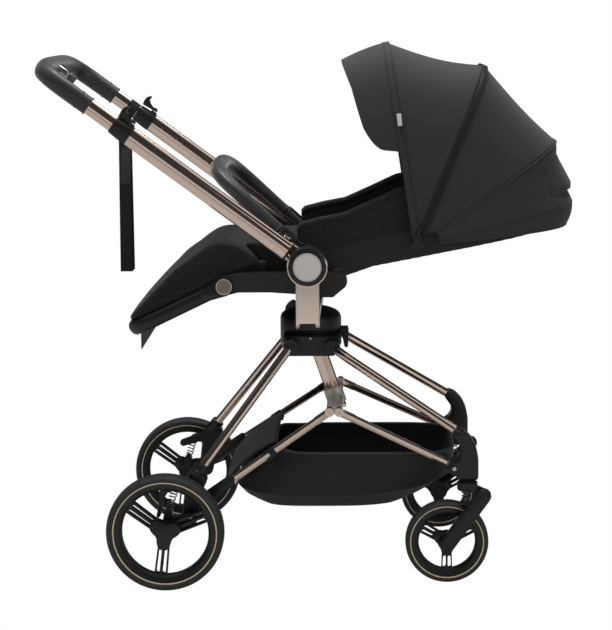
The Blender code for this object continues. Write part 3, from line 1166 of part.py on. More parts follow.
# Assembly
def place_everything():
    front_stem = {side: (STEM_X, sign * FRONT_TRACK, CROWN_TOP) for side, sign in SIDES.items()}
    body("hub_base")
    body("fold_lever", flat(FOLD_LEVER_PIVOT), "hub_base")
    body("nexus", flat(NEXUS), "hub_base")
    body("front_struts", flat(FRONT_PIN), "nexus")
    body("rear_struts", flat(REAR_PIN), "nexus")
    body("front_legs", flat(FRONT_LEG_PIVOT), "hub_base")
    body("rear_legs", flat(REAR_LEG_PIVOT), "hub_base")
    body("brake_pedal", flat(BRAKE_PIVOT, -REAR_TRACK), "rear_legs")
    body("turntable", (0, 0, HUB_SPLIT), "hub_base")
    body("swivel_lever", flat(SWIVEL_LEVER_PIVOT), "turntable")
    body("handle_outer", flat(JOINT), "turntable")
    body("handle_inner", on_handle(GRIP_START, 0, 0), "handle_outer")
    body("grip_button", on_handle(GRIP_DISTANCE, 0, 0), "handle_inner")
    body("seat", flat(JOINT), "turntable")
    body("bumper", flat(BUMPER_PIVOT), "seat")
    body("footrest", flat(FOOTREST_PIVOT), "seat")
    body("backrest", flat(RECLINE_PIVOT), "seat")
    body("canopy_middle", flat(CANOPY_PIVOT), "backrest")
    body("canopy_front", flat(CANOPY_PIVOT), "canopy_middle")

    add("hub_lower_case", hub_lower_case(), "black_plastic", "hub_base")
    add("guide_column", guide_column(), "champagne", "hub_base")
    add("basket", basket(), "black_cloth", "hub_base")
    add("fold_lever", fold_lever(), "black_plastic", "fold_lever")
    add("nexus_bracket", nexus_bracket(), "silver", "nexus")
    add("hub_upper_case", hub_upper_case(), "black_plastic", "turntable")
    add("yoke", yoke(), "black_plastic", "turntable")
    add("swivel_lever", swivel_lever(), "black_plastic", "swivel_lever")
    add("handle_inner_tube", handle_inner_tube(), "champagne", "handle_inner")
    add("handle_grip", handle_grip(), "leather", "handle_inner")
    add("grip_button", grip_button(), "silver", "grip_button")
    add("wrist_strap", wrist_strap(), "webbing", "handle_outer")
    add("seat_frame", seat_frame(), "black_plastic", "seat")
    add("seat_cushion", seat_cushion(), "black_cloth", "seat")
    add("bumper_bar", bumper_bar(), "leather", "bumper")
    add("footrest_frame", footrest_frame(), "black_plastic", "footrest")
    add("footrest_cushion", footrest_cushion(), "canopy_cloth", "footrest")
    add("backrest_shell", backrest_shell(), "canopy_cloth", "backrest")
    add("canopy_middle_bow", bow(MIDDLE_BOW), "black_plastic", "canopy_middle")
    add("canopy_front_bow", canopy_front_bow(), "canopy_cloth", "canopy_front")
    front_band = band_stations(FRONT_BOW, MIDDLE_BOW, BOW_SIDE, BOW_SIDE, FABRIC_SAG)
    add("canopy_front_panel", fabric(front_band, PANEL_INNER_RADIUS), "canopy_cloth", "canopy_front")
    middle_band = band_stations(MIDDLE_BOW, REAR_SEAM, BOW_SIDE, 0, FABRIC_SAG)
    add("canopy_middle_panel", fabric(middle_band, PANEL_INNER_RADIUS), "canopy_cloth", "canopy_middle")
    add("canopy_back_panel", canopy_back_panel(), "canopy_cloth", "backrest")
    add("brake_pedal", brake_pedal(), "black_plastic", "brake_pedal", -1)

    for side, sign in SIDES.items():
        body("caster_" + side, front_stem[side], "front_legs")
        body("front_arm_" + side, flat(FRONT_ARM_PIVOT, sign * FRONT_TRACK), "caster_" + side)
        body("front_wheel_" + side, flat(FRONT_AXLE, sign * FRONT_TRACK), "front_arm_" + side)
        body("rear_arm_" + side, flat(REAR_ARM_PIVOT, sign * REAR_TRACK), "rear_legs")
        body("rear_wheel_" + side, flat(REAR_AXLE, sign * REAR_TRACK), "rear_arm_" + side)
        hinge = on_handle(*COLLAR_LEVER_HINGE, sign * HANDLE_TRACK)
        body("collar_lever_" + side, hinge, "handle_outer")

        add("front_strut_" + side, front_strut(), "champagne", "front_struts", sign)
        add("rear_strut_" + side, rear_strut(), "champagne", "rear_struts", sign)
        add("front_leg_" + side, front_leg(), "champagne", "front_legs", sign)
        add("rear_leg_" + side, rear_leg(), "champagne", "rear_legs", sign)
        add("front_housing_" + side, front_housing(), "black_plastic", "front_legs", sign)
        add("rear_housing_" + side, rear_housing(), "black_plastic", "rear_legs", sign)
        add("caster_" + side, caster(), "black_plastic", "caster_" + side, sign)
        add("front_arm_" + side, front_arm(), "black_plastic", "front_arm_" + side, sign)
        add("rear_arm_" + side, rear_arm(), "black_plastic", "rear_arm_" + side, sign)
        coil((FRONT_SPRING_AXIS[0], sign * FRONT_SPRING_AXIS[1], FRONT_SPRING_BOTTOM - CLEAR),
             (FRONT_SPRING_AXIS[0], sign * FRONT_SPRING_AXIS[1], CROWN_BOTTOM), FRONT_SPRING_RADIUS,
             FRONT_SPRING_TURNS, "front_spring_" + side, "caster_" + side)
        spring_track = sign * (REAR_FORK_OUTER + REAR_HOUSING_OUTER) / 2
        coil(flat(REAR_SPRING_BOTTOM, spring_track), flat(REAR_SPRING_TOP, spring_track), REAR_SPRING_RADIUS,
             REAR_SPRING_TURNS, "rear_spring_" + side, "rear_legs")
        front_tyre = tyre(FRONT_AXLE, FRONT_TRACK, FRONT_TYRE_RADIUS, FRONT_RIM_RADIUS, FRONT_TYRE_WIDTH, 24)
        front_rim = rim(FRONT_AXLE, FRONT_TRACK, FRONT_RIM_RADIUS, FRONT_TYRE_WIDTH, 0.024, (30, 150, 270),
                        FRONT_TRACK - 0.0145, FRONT_ARM_INNER - CLEAR, 24)
        rear_tyre = tyre(REAR_AXLE, REAR_TRACK, REAR_TYRE_RADIUS, REAR_RIM_RADIUS, REAR_TYRE_WIDTH, 28)
        rear_rim = rim(REAR_AXLE, REAR_TRACK, REAR_RIM_RADIUS, REAR_TYRE_WIDTH, 0.028, (23, 143, 263),
                       REAR_HOUSING_OUTER + CLEAR, REAR_TRACK + 0.018, 28)
        add("front_tyre_" + side, front_tyre, "tyre", "front_wheel_" + side, sign)
        add("front_rim_" + side, front_rim, "black_plastic", "front_wheel_" + side, sign)
        add("rear_tyre_" + side, rear_tyre, "tyre", "rear_wheel_" + side, sign)
        add("rear_rim_" + side, rear_rim, "black_plastic", "rear_wheel_" + side, sign)
        add("handle_tube_" + side, handle_tube(), "champagne", "handle_outer", sign)
        add("collar_" + side, collar(), "black_plastic", "handle_outer", sign)
        add("collar_lever_" + side, collar_lever(), "black_plastic", "collar_lever_" + side, sign)


place_everything()
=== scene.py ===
"""Looks of the two-in-one pram: materials, cloth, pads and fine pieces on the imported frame.

Metres, +Z up, +X towards the caster wheels, +Y away from the camera.
"""
import math

import bmesh
import bpy
from mathutils import Matrix, Vector


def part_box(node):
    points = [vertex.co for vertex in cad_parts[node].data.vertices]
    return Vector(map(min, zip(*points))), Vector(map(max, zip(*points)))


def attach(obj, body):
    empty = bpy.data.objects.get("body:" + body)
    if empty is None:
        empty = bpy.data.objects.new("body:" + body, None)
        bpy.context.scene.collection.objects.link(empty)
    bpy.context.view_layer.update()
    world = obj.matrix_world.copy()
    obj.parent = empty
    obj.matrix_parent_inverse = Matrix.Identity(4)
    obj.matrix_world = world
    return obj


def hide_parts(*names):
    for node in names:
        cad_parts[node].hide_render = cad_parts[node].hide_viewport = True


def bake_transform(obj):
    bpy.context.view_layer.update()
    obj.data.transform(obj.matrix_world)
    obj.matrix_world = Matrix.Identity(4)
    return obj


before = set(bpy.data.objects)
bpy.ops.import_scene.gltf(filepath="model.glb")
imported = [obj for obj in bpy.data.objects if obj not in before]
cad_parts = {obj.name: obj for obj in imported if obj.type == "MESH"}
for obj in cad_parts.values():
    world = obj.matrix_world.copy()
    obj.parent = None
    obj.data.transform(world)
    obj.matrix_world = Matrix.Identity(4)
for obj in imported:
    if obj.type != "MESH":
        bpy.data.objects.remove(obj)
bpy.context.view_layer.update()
scene = bpy.context.scene
SIDES = {"L": 1, "R": -1}

# Camera, floor and light
# The camera stands at the right side of the pram, a little above its seat, and looks slightly down.
# The floor and the background are plain white; a sky of bands gives the polished tubes their stripes.
CAMERA_SPOT = (0.1117, -4.1781, 1.2467)
CAMERA_ANGLES = (-1.678, 9.442, -0.526)
SKY_STOPS = ((0.0, 0.40), (0.49, 0.72), (0.52, 0.05), (0.86, 0.04), (0.885, 0.75),
             (0.93, 0.80), (0.94, 0.12), (0.96, 1.0), (1.0, 1.2))
LAMPS = (("key", (-1.6, -2.6, 3.2), (0.0, 0.0, 0.6), 2.0, 34),
         ("fill", (2.4, -3.0, 1.6), (0.1, 0.0, 0.6), 2.5, 12),
         ("top", (0.2, 0.3, 3.2), (0.1, 0.0, 0.6), 1.6, 42))


def added(name, data):
    """New object of the scene that shows the data."""
    thing = bpy.data.objects.new(name, data)
    scene.collection.objects.link(thing)
    return thing


yaw, pitch, roll = (math.radians(value) for value in CAMERA_ANGLES)
forward = Vector((math.sin(yaw) * math.cos(pitch), math.cos(yaw) * math.cos(pitch), -math.sin(pitch)))
level = Vector((math.cos(yaw), -math.sin(yaw), 0))
upward = level.cross(forward)
across = level * math.cos(roll) + upward * math.sin(roll)
above = upward * math.cos(roll) - level * math.sin(roll)
camera_data = bpy.data.cameras.new("camera")
camera_data.sensor_fit = "VERTICAL"
camera_data.sensor_height = 24.0
camera_data.lens = 71.72
camera = added("camera", camera_data)
camera_turn = Matrix((across, above, -forward)).transposed().to_4x4()
camera.matrix_world = Matrix.Translation(CAMERA_SPOT) @ camera_turn
scene.camera = camera
scene.view_settings.view_transform = "Standard"


def part_rays(tree, lit, seen, output):
    """Camera rays meet the shader that is seen; all other rays meet the one that lights."""
    ray = tree.nodes.new("ShaderNodeLightPath")
    mix = tree.nodes.new("ShaderNodeMixShader")
    out = tree.nodes.new(output)
    tree.links.new(ray.outputs["Is Camera Ray"], mix.inputs["Fac"])
    tree.links.new(lit.outputs[0], mix.inputs[1])
    tree.links.new(seen.outputs[0], mix.inputs[2])
    tree.links.new(mix.outputs[0], out.inputs["Surface"])


world = bpy.data.worlds.new("sky")
scene.world = world
world.use_nodes = True
sky = world.node_tree
sky.nodes.clear()
place = sky.nodes.new("ShaderNodeTexCoord")
split = sky.nodes.new("ShaderNodeSeparateXYZ")
bands = sky.nodes.new("ShaderNodeValToRGB")
for index, (height, tone) in enumerate(SKY_STOPS):
    stop = bands.color_ramp.elements[index] if index < 2 else bands.color_ramp.elements.new(height)
    stop.position = height
    stop.color = (tone, tone, tone, 1)
ramp_place = sky.nodes.new("ShaderNodeMath")
ramp_place.operation = "MULTIPLY_ADD"
ramp_place.inputs[1].default_value = 0.5
ramp_place.inputs[2].default_value = 0.5
seen = sky.nodes.new("ShaderNodeBackground")
seen.inputs["Color"].default_value = (1, 1, 1, 1)
felt = sky.nodes.new("ShaderNodeBackground")
felt.inputs["Strength"].default_value = 0.80
sky.links.new(place.outputs["Generated"], split.inputs[0])
sky.links.new(split.outputs["Z"], ramp_place.inputs[0])
sky.links.new(ramp_place.outputs[0], bands.inputs["Fac"])
sky.links.new(bands.outputs["Color"], felt.inputs["Color"])
part_rays(sky, felt, seen, "ShaderNodeOutputWorld")

floor_shape = bmesh.new()
bmesh.ops.create_grid(floor_shape, x_segments=1, y_segments=1, size=6.0)
floor_mesh = bpy.data.meshes.new("floor")
floor_shape.to_mesh(floor_mesh)
floor_shape.free()
floor = added("floor", floor_mesh)
floor.location.z = -0.0005
paper = bpy.data.materials.new("paper")
paper.use_nodes = True
paper.node_tree.nodes.clear()
lit = paper.node_tree.nodes.new("ShaderNodeBsdfDiffuse")
lit.inputs["Color"].default_value = (0.62, 0.61, 0.60, 1)
white = paper.node_tree.nodes.new("ShaderNodeEmission")
part_rays(paper.node_tree, lit, white, "ShaderNodeOutputMaterial")
floor_mesh.materials.append(paper)

for name, spot, aim, size, power in LAMPS:
    lamp_data = bpy.data.lights.new(name, "AREA")
    lamp_data.energy = power
    lamp_data.size = size
    lamp = added(name, lamp_data)
    lamp.location = spot
    lamp.rotation_euler = (Vector(aim) - Vector(spot)).to_track_quat("-Z", "Y").to_euler()
    lamp.visible_glossy = name != "key"


# Polished frame: legs, struts, handle tubes
# Anodised aluminium tube in rose champagne, drawn to shape, polished bright and pinned at its ends.
# The ends that turn on a pin are black moulded knuckles.
def surface(name, colour, roughness, metallic=0.0, texture="Noise", scale=900.0, spread=0.1, bump=0.1,
            sheen=0.0):
    """Material whose tone and relief follow one texture in Object coordinates."""
    material = bpy.data.materials.new(name)
    material.use_nodes = True
    tree = material.node_tree
    shader = tree.nodes["Principled BSDF"]
    shader.inputs["Roughness"].default_value = roughness
    shader.inputs["Metallic"].default_value = metallic
    shader.inputs["Sheen Weight"].default_value = sheen
    source = tree.nodes.new("ShaderNodeTexCoord")
    pattern = tree.nodes.new("ShaderNodeTex" + texture)
    pattern.inputs["Scale"].default_value = scale
    tones = tree.nodes.new("ShaderNodeValToRGB")
    for stop, factor in zip(tones.color_ramp.elements, (1 - spread, 1 + spread)):
        stop.color = (*[min(part * factor, 1.0) for part in colour], 1)
    relief = tree.nodes.new("ShaderNodeBump")
    relief.inputs["Strength"].default_value = bump
    relief.inputs["Distance"].default_value = 0.0006
    value = pattern.outputs["Distance" if texture == "Voronoi" else "Fac"]
    tree.links.new(source.outputs["Object"], pattern.inputs["Vector"])
    tree.links.new(value, tones.inputs["Fac"])
    tree.links.new(tones.outputs["Color"], shader.inputs["Base Color"])
    tree.links.new(value, relief.inputs["Height"])
    tree.links.new(relief.outputs["Normal"], shader.inputs["Normal"])
    return material


def cover(piece, *materials):
    """Give a mesh its materials in place of the ones that it has."""
    piece.data.materials.clear()
    for material in materials:
        piece.data.materials.append(material)


def plain_mesh(piece):
    """Drop the stored normals and sharp marks, and join points that coincide."""
    for name in ("custom_normal", "sharp_face", "sharp_edge"):
        if name in piece.data.attributes:
            piece.data.attributes.remove(piece.data.attributes[name])
    weld = piece.modifiers.new("weld", "WELD")
    weld.merge_threshold = 0.00001


def dress(node, *materials, edge=0.0006, limit=40, pick=None):
    """Give a CAD node its materials, smooth faces and eased edges; its coordinates stay."""
    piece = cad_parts[node]
    cover(piece, *materials)
    plain_mesh(piece)
    for face in piece.data.polygons:
        face.use_smooth = True
        face.material_index = pick(face.center) if pick else 0
    clean = piece.modifiers.new("clean", "DECIMATE")
    clean.decimate_type = "DISSOLVE"
    clean.angle_limit = math.radians(0.5)
    clean.delimit = {"MATERIAL"}
    if edge:
        bevel = piece.modifiers.new("edge", "BEVEL")
        bevel.width = edge
        bevel.segments = 2
        bevel.limit_method = "ANGLE"
        bevel.angle_limit = math.radians(limit)
        bevel.harden_normals = True
    return piece


def within(x, z, radius):
    """Picker of the second material round a pin that lies across the pram."""
    return lambda spot: int(math.hypot(spot.x - x, spot.z - z) < radius)


HANDLE_JOINT = 0.6946
FRONT_LEG_PIN = (0.050, 0.500)
REAR_LEG_PIN = (-0.041, 0.503)
FRONT_EYE_START = 0.302
REAR_SLEEVE_START = -0.163
champagne = surface("champagne", (0.90, 0.72, 0.62), 0.11, 1.0, scale=40.0, spread=0.02, bump=0.002)
satin_black = surface("satin_black", (0.012, 0.012, 0.013), 0.36, spread=0.2, bump=0.12)
bright_steel = surface("bright_steel", (0.62, 0.60, 0.58), 0.22, 1.0, scale=200.0, spread=0.06, bump=0.05)
for side in SIDES:
    dress("front_leg_" + side, champagne, satin_black, pick=within(*FRONT_LEG_PIN, 0.020))
    dress("rear_leg_" + side, champagne, satin_black, pick=within(*REAR_LEG_PIN, 0.020))
    dress("front_strut_" + side, champagne, satin_black, edge=0.0021, limit=30,
          pick=lambda spot: int(spot.x > FRONT_EYE_START))
    dress("rear_strut_" + side, champagne, satin_black, edge=0.0021, limit=30,
          pick=lambda spot: int(spot.x < REAR_SLEEVE_START))
    dress("handle_tube_" + side, champagne, satin_black, pick=within(0.0, HANDLE_JOINT, 0.048))
dress("handle_inner_tube", champagne)
dress("guide_column", champagne)

# Hub, turntable, yoke and levers
# Moulded black housings with satin faces; the yoke's two arms are polished metal with eased edges, coloured
# as a lighter copy of the champagne, which is painted light.
# They are screwed together through the hub and carry the joint caps at the top of the arms.
YOKE_METAL_TOP = 0.6545
for node in ("hub_lower_case", "hub_upper_case", "fold_lever", "swivel_lever"):
    dress(node, satin_black)
# Painted light: the yoke's metal is the champagne made lighter, so its arms stay bright where they reflect
# the sky's dark band.
yoke_painted_light_metal = surface("yoke_painted_light_metal", (0.95, 0.80, 0.70), 0.16, 1.0, scale=40.0, spread=0.02, bump=0.01)
dress("yoke", satin_black, yoke_painted_light_metal, edge=0.0026, pick=lambda spot: int(spot.z < YOKE_METAL_TOP))


def collect(name, shape, material, body, sharp=35):
    """Finish a bmesh as a smooth piece that rides on a body."""
    bmesh.ops.remove_doubles(shape, verts=shape.verts, dist=1e-6)
    bmesh.ops.recalc_face_normals(shape, faces=shape.faces)
    mesh = bpy.data.meshes.new(name)
    shape.to_mesh(mesh)
    shape.free()
    mesh.materials.append(material)
    mesh.shade_smooth()
    mesh.set_sharp_from_angle(angle=math.radians(sharp))
    piece = added(name, mesh)
    if body:
        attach(piece, body)
    return piece


def spun(profile, steps, turn_axis="Y"):
    """Closed ring or disc turned about an axis; profile points are (radius, height along the axis)."""
    shape = bmesh.new()
    if turn_axis == "Y":
        axis = (0, 1, 0)
        verts = [shape.verts.new((0, height, -radius)) for radius, height in profile]
    else:
        axis = (0, 0, 1)
        verts = [shape.verts.new((radius, 0, height)) for radius, height in profile]
    edges = [shape.edges.new(ends) for ends in zip(verts, verts[1:])]
    if profile[0][0] > 0:
        edges.append(shape.edges.new((verts[-1], verts[0])))
    bmesh.ops.spin(shape, geom=verts + edges, cent=(0, 0, 0), axis=axis, angle=math.tau, steps=steps,
                   use_merge=True)
    return shape


def turned(name, profile, centre, material, body, steps=96, turn_axis="Y"):
    """Turned piece about a centre."""
    shape = spun(profile, steps, turn_axis)
    bmesh.ops.translate(shape, vec=centre, verts=shape.verts)
    return collect(name, shape, material, body)


def sided(profile, sign):
    """Turned profile for one side of the pram: its heights take the side's sign."""
    return [(radius, sign * height) for radius, height in profile]


def block(name, size, centre, material, body, turn=0.0, ease=0.0015, tilt=0.0):
    """Box with eased edges, turned about the Y axis and tilted about the X axis."""
    shape = bmesh.new()
    bmesh.ops.create_cube(shape, size=1.0)
    bmesh.ops.scale(shape, vec=size, verts=shape.verts)
    bmesh.ops.bevel(shape, geom=shape.edges[:], offset=ease, segments=2, affect="EDGES", profile=0.5,
                    material=-1)
    turning = Matrix.Translation(centre) @ Matrix.Rotation(math.radians(turn), 4, "Y")
    tilting = Matrix.Rotation(math.radians(tilt), 4, "X")
    bmesh.ops.transform(shape, matrix=turning @ tilting, verts=shape.verts)
    return collect(name, shape, material, body, 60)


def plate(name, outline, corners, low, high, material, body, ease=0.0012):
    """Moulded plate in the XZ plane: a circle takes an outline, is extruded and has its edge eased."""
    shape = bmesh.new()
    bmesh.ops.create_circle(shape, cap_ends=True, segments=corners, radius=1.0)
    for vert in shape.verts:
        x, z = outline(math.atan2(vert.co.y, vert.co.x) % math.tau)
        vert.co = Vector((x, low, z))
    grown = bmesh.ops.extrude_face_region(shape, geom=shape.faces[:])
    top = [item for item in grown["geom"] if isinstance(item, bmesh.types.BMVert)]
    bmesh.ops.translate(shape, vec=(0, high - low, 0), verts=top)
    edges = [edge for edge in shape.edges if all(vert in top for vert in edge.verts)]
    bmesh.ops.bevel(shape, geom=edges, offset=ease, segments=2, affect="EDGES", profile=0.5, material=-1)
    return collect(name, shape, material, body, 50)


pale_metal = surface("pale_metal", (0.84, 0.80, 0.77), 0.30, 0.35, scale=90.0, spread=0.03, bump=0.02)
dress("nexus_bracket", pale_metal)
white_rim = surface("white_rim", (0.78, 0.76, 0.74), 0.30, scale=90.0, spread=0.03, bump=0.02)
CAP_RING = ((0.0403, 0.2478), (0.0431, 0.2478), (0.0429, 0.2494), (0.0405, 0.2499))
CAP_LINE = ((0.0286, 0.2510), (0.0302, 0.2510), (0.0300, 0.2526), (0.0287, 0.2526))
CAP_FACE = ((0.0, 0.2500), (0.0284, 0.2500), (0.0280, 0.2521), (0.0, 0.2523))
HUB_GROOVE = ((0.0680, 0.4905), (0.0689, 0.4905), (0.0689, 0.4925), (0.0680, 0.4925))
HUB_SCREW = ((0.0, -0.1092), (0.0022, -0.1092), (0.0022, -0.1070), (0.0, -0.1070))
for side, sign in SIDES.items():
    for label, profile, material in (("outer", CAP_RING, champagne), ("white", CAP_LINE, white_rim),
                                     ("face", CAP_FACE, pale_metal)):
        turned("cap_" + label + "_" + side, sided(profile, sign), (0, 0, HANDLE_JOINT), material,
               "turntable")
    block("yoke_slot_" + side, (0.034, 0.0014, 0.0140), (-0.0005, sign * 0.2420, 0.5670), satin_black,
          "turntable", ease=0.0006, tilt=-38 * sign)
turned("hub_groove", HUB_GROOVE, (0, 0, 0), bright_steel, "hub_base", turn_axis="Z")
turned("hub_screw", HUB_SCREW, (0.0019, 0, 0.5172), white_rim, "hub_base", 24)

# Handle: collars, grip, button and wrist strap
# Moulded clamps on the tubes, a grip of stitched leatherette over foam, and a strap of woven webbing.
# The clamps hold the sliding tube; the strap is sewn in a loop and hangs from the far collar.
HANDLE_TRACK = 0.219
leather = surface("leather", (0.026, 0.026, 0.028), 0.34, texture="Voronoi", scale=700.0,
                  spread=0.25, bump=0.18, sheen=0.35)
bright_thread = surface("thread", (0.10, 0.10, 0.10), 0.8, spread=0.3, bump=0.3)
patch_cloth = surface("patch_cloth", (0.050, 0.050, 0.052), 0.7, spread=0.3, bump=0.3)
webbing = surface("webbing", (0.018, 0.018, 0.019), 0.75, texture="Wave", scale=260.0,
                  spread=0.45, bump=0.5)
handle_along = Vector((-0.802636, 0, 0.596470))
handle_above = Vector((0.596470, 0, 0.802636))


def on_handle(distance, height=0.0, y=0.0):
    """Point in the handle's own plane: distance from the joint, height above the plane, y."""
    return Vector((0, y, HANDLE_JOINT)) + handle_along * distance + handle_above * height


def piping(name, points, radius, material, body, cyclic=False):
    """Round cord or seam through points, riding on a body."""
    curve = bpy.data.curves.new(name, "CURVE")
    curve.dimensions = "3D"
    curve.bevel_depth = radius
    curve.bevel_resolution = 3
    curve.use_fill_caps = not cyclic
    spline = curve.splines.new("POLY")
    spline.points.add(len(points) - 1)
    for target, point in zip(spline.points, points):
        target.co = (*point, 1)
    spline.use_cyclic_u = cyclic
    curve.materials.append(material)
    piece = added(name, curve)
    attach(piece, body)
    return piece


def hoop(name, centre, first, second, radius, material, body):
    """Seam round a tube: an ellipse with the two given half axes."""
    turns = [math.tau * i / 40 for i in range(40)]
    points = [centre + first * math.cos(turn) + second * math.sin(turn) for turn in turns]
    return piping(name, points, radius, material, body, cyclic=True)


def mixed(first, last, share):
    """Values between two rows of values, at a share of the way."""
    return [a + (b - a) * share for a, b in zip(first, last)]


def corner_spot(corners, turn):
    """Point on a closed outline of corners, for an angle of the circle that becomes it."""
    place = turn / math.tau * len(corners)
    index = int(place) % len(corners)
    return mixed(corners[index], corners[(index + 1) % len(corners)], place - int(place))


LEVER_CORNERS = ((0.5065, 0.0235), (0.5085, 0.0330), (0.5075, 0.0430), (0.5010, 0.0505), (0.4985, 0.0475),
                 (0.4990, 0.0405), (0.4930, 0.0345), (0.4830, 0.0310), (0.4720, 0.0335), (0.4690, 0.0270))
LEVER_HALF_WIDTH = 0.009


def lever_outline(turn):
    """Thumb lever seen from the side: a low foot that sweeps up to a hooked tip."""
    spot = on_handle(*corner_spot(LEVER_CORNERS, turn))
    return spot.x, spot.z


for side, sign in SIDES.items():
    dress("collar_" + side, satin_black)
    low, high = sign * (HANDLE_TRACK - LEVER_HALF_WIDTH), sign * (HANDLE_TRACK + LEVER_HALF_WIDTH)
    lever = plate("lever_fin_" + side, lever_outline, 60, low, high, satin_black, "collar_lever_" + side,
                  ease=0.0015)
    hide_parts("collar_lever_" + side)
    for index, distance in enumerate((0.571, 0.594)):
        hoop("grip_ring_" + side + str(index), on_handle(distance, 0, sign * HANDLE_TRACK),
             handle_above * 0.0203, Vector((0, 0.0146, 0)), 0.0012, leather, "handle_inner")
    hoop("tube_collar_" + side, on_handle(0.0500, 0, sign * HANDLE_TRACK), handle_above * 0.0212,
         Vector((0, 0.0132, 0)), 0.0026, satin_black, "handle_outer")


def loop_path(place, start, reach, half, corner, steps=96):
    """Path of a U: straight arms from start, and a rounded cross bar at the reach."""
    points = []
    for i in range(steps + 1):
        turn = math.pi * i / steps
        side_way = math.copysign(abs(math.cos(turn)) ** corner, math.cos(turn)) * half
        points.append(place(reach - (reach - start) * (1 - math.sin(turn) ** corner), side_way))
    return points


def clipped(value):
    """Value kept between 0 and 1."""
    return min(max(value, 0.0), 1.0)


def padded_tube(name, points, above, sizes, material, body, sides=28):
    """Padded cover drawn along a path; sizes gives its half axes for a share of the way."""
    shape = bmesh.new()
    bmesh.ops.create_grid(shape, x_segments=len(points) - 1, y_segments=sides, size=0.5)
    last = len(points) - 1
    for vert in shape.verts:
        share = clipped(vert.co.x + 0.5)
        turn = math.tau * (vert.co.y + 0.5)
        index = round(share * last)
        heading = (points[min(index + 1, last)] - points[max(index - 1, 0)]).normalized()
        out = heading.cross(above)
        wide, high = sizes(share)
        vert.co = points[index] + out * wide * math.cos(turn) + above * high * math.sin(turn)
    bmesh.ops.remove_doubles(shape, verts=shape.verts, dist=1e-6)
    bmesh.ops.holes_fill(shape, edges=[edge for edge in shape.edges if edge.is_boundary], sides=sides)
    return collect(name, shape, material, body, 60)


def grip_sizes(share):
    """Half axes of the grip, which is a little fuller round its bend."""
    full = math.sin(math.pi * share) ** 0.5
    return 0.0143 + 0.0030 * full, 0.0196 + 0.0012 * full


GRIP_REACH = 0.7035
BUTTON_SEAT = (0.027, 0.6815)
HANDLE_SLOPE = 36.6
# Skins just proud of the solid tubes: label, start, end, half axes, body.
HANDLE_SKINS = (("outer", 0.0520, 0.4640, (0.0128, 0.0208), "handle_outer"),
                ("inner", 0.5050, 0.5720, (0.0103, 0.0168), "handle_inner"))
grey_plastic = surface("grey_plastic", (0.10, 0.10, 0.10), 0.5, scale=500.0, spread=0.1, bump=0.1)
grip_path = loop_path(lambda reach, y: on_handle(reach, 0, y), 0.572, GRIP_REACH, HANDLE_TRACK, 0.42)
padded_tube("grip_cover", grip_path, handle_above, grip_sizes, leather, "handle_inner")


def button_seat(spot):
    """Picker of the metal seat round the button, in the middle of the grip."""
    distance = (spot - on_handle(0)).dot(handle_along)
    return int(abs(spot.y) < BUTTON_SEAT[0] and distance < BUTTON_SEAT[1])


dress("handle_grip", leather, bright_steel, limit=50, pick=button_seat)
block("grip_button_case", (0.034, 0.046, 0.024), on_handle(0.676), bright_steel, "handle_inner",
      turn=HANDLE_SLOPE, ease=0.004)
block("grip_button_foot", (0.020, 0.030, 0.018), on_handle(0.655), grey_plastic, "handle_inner",
      turn=HANDLE_SLOPE, ease=0.003)
dress("grip_button", satin_black)
for side, sign in SIDES.items():
    for label, start, end, half_axes, body in HANDLE_SKINS:
        points = [on_handle(start + (end - start) * i / 40, 0, sign * HANDLE_TRACK) for i in range(41)]
        padded_tube("handle_skin_" + label + "_" + side, points, handle_above, lambda share: half_axes,
                    champagne, body, 48)


def sheet_piece(name, place_point, columns, rows, material, thickness, lining=None):
    """Cloth from a grid whose points a function places from two shares, with its thickness."""
    shape = bmesh.new()
    bmesh.ops.create_grid(shape, x_segments=columns, y_segments=rows, size=0.5)
    for vert in shape.verts:
        vert.co = place_point(clipped(vert.co.x + 0.5), clipped(vert.co.y + 0.5))
    piece = collect(name, shape, material, None, 60)
    if lining:
        piece.data.materials.append(lining)
    solid = piece.modifiers.new("thickness", "SOLIDIFY")
    solid.thickness = thickness
    solid.offset = 0.0
    solid.material_offset = 1 if lining else 0
    return piece


def declare(spot):
    """Measure a sheet's flat size along its two ways; the size is not kept or used."""
    ways = ([[spot(i / 60, j / 8) for i in range(61)] for j in range(9)],
            [[spot(i / 8, j / 60) for j in range(61)] for i in range(9)])
    size = [max(sum((b - a).length for a, b in zip(line, line[1:])) for line in way) for way in ways]


STRAP_WIDTH = 0.0290
STRAP_LOW = 0.6225
STRAP_FOLD = (0.48, 0.52)


def strap_spot(share, step):
    """Placement of the strap's doubled webbing: down one side, round the low fold and up again."""
    middle = on_handle(0.5255, -0.016)
    top = middle.z - 0.004
    x = middle.x - 0.0045 + (share - 0.5) * STRAP_WIDTH
    down, up = STRAP_FOLD
    if step < down:
        height, out = step / down, 0.0
    elif step > up:
        height, out = (1 - step) / down, 1.0
    else:
        height, out = 1.0, (step - down) / 0.04
    bow = 0.0022 + 0.0022 * math.sin(math.pi * height)
    y = HANDLE_TRACK + bow * (2 * out - 1)
    return Vector((x - 0.004 * height, y, top - (top - STRAP_LOW) * height))


dress("wrist_strap", webbing)
strap = sheet_piece("strap_webbing", strap_spot, 8, 120, webbing, 0.0016)
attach(strap, "handle_outer")
declare(strap_spot)
for label, height in (("top", 0.33), ("low", 0.335)):
    placed = [strap_spot(i / 8, 0.48 * height) + Vector((0, -0.0012, 0)) for i in range(9)]
    piping("strap_stitch_" + label, placed, 0.0006, bright_thread, "handle_outer")
patch_spot = strap_spot(0.5, 0.155) + Vector((0.001, -0.0014, 0))
block("strap_patch", (0.0225, 0.0010, 0.0860), patch_spot, patch_cloth, "handle_outer", turn=2.2,
      ease=0.0004)

# Wheels
# Solid foam tyres with a finely ribbed tread on moulded black rims with three slotted spokes.
# A gold line runs round each face where the tyre sits on the rim; a cap closes each axle.
FRONT_AXLE = (0.297, 0.090)
REAR_AXLE = (-0.309, 0.127)
RIB_DEPTH = 0.0007
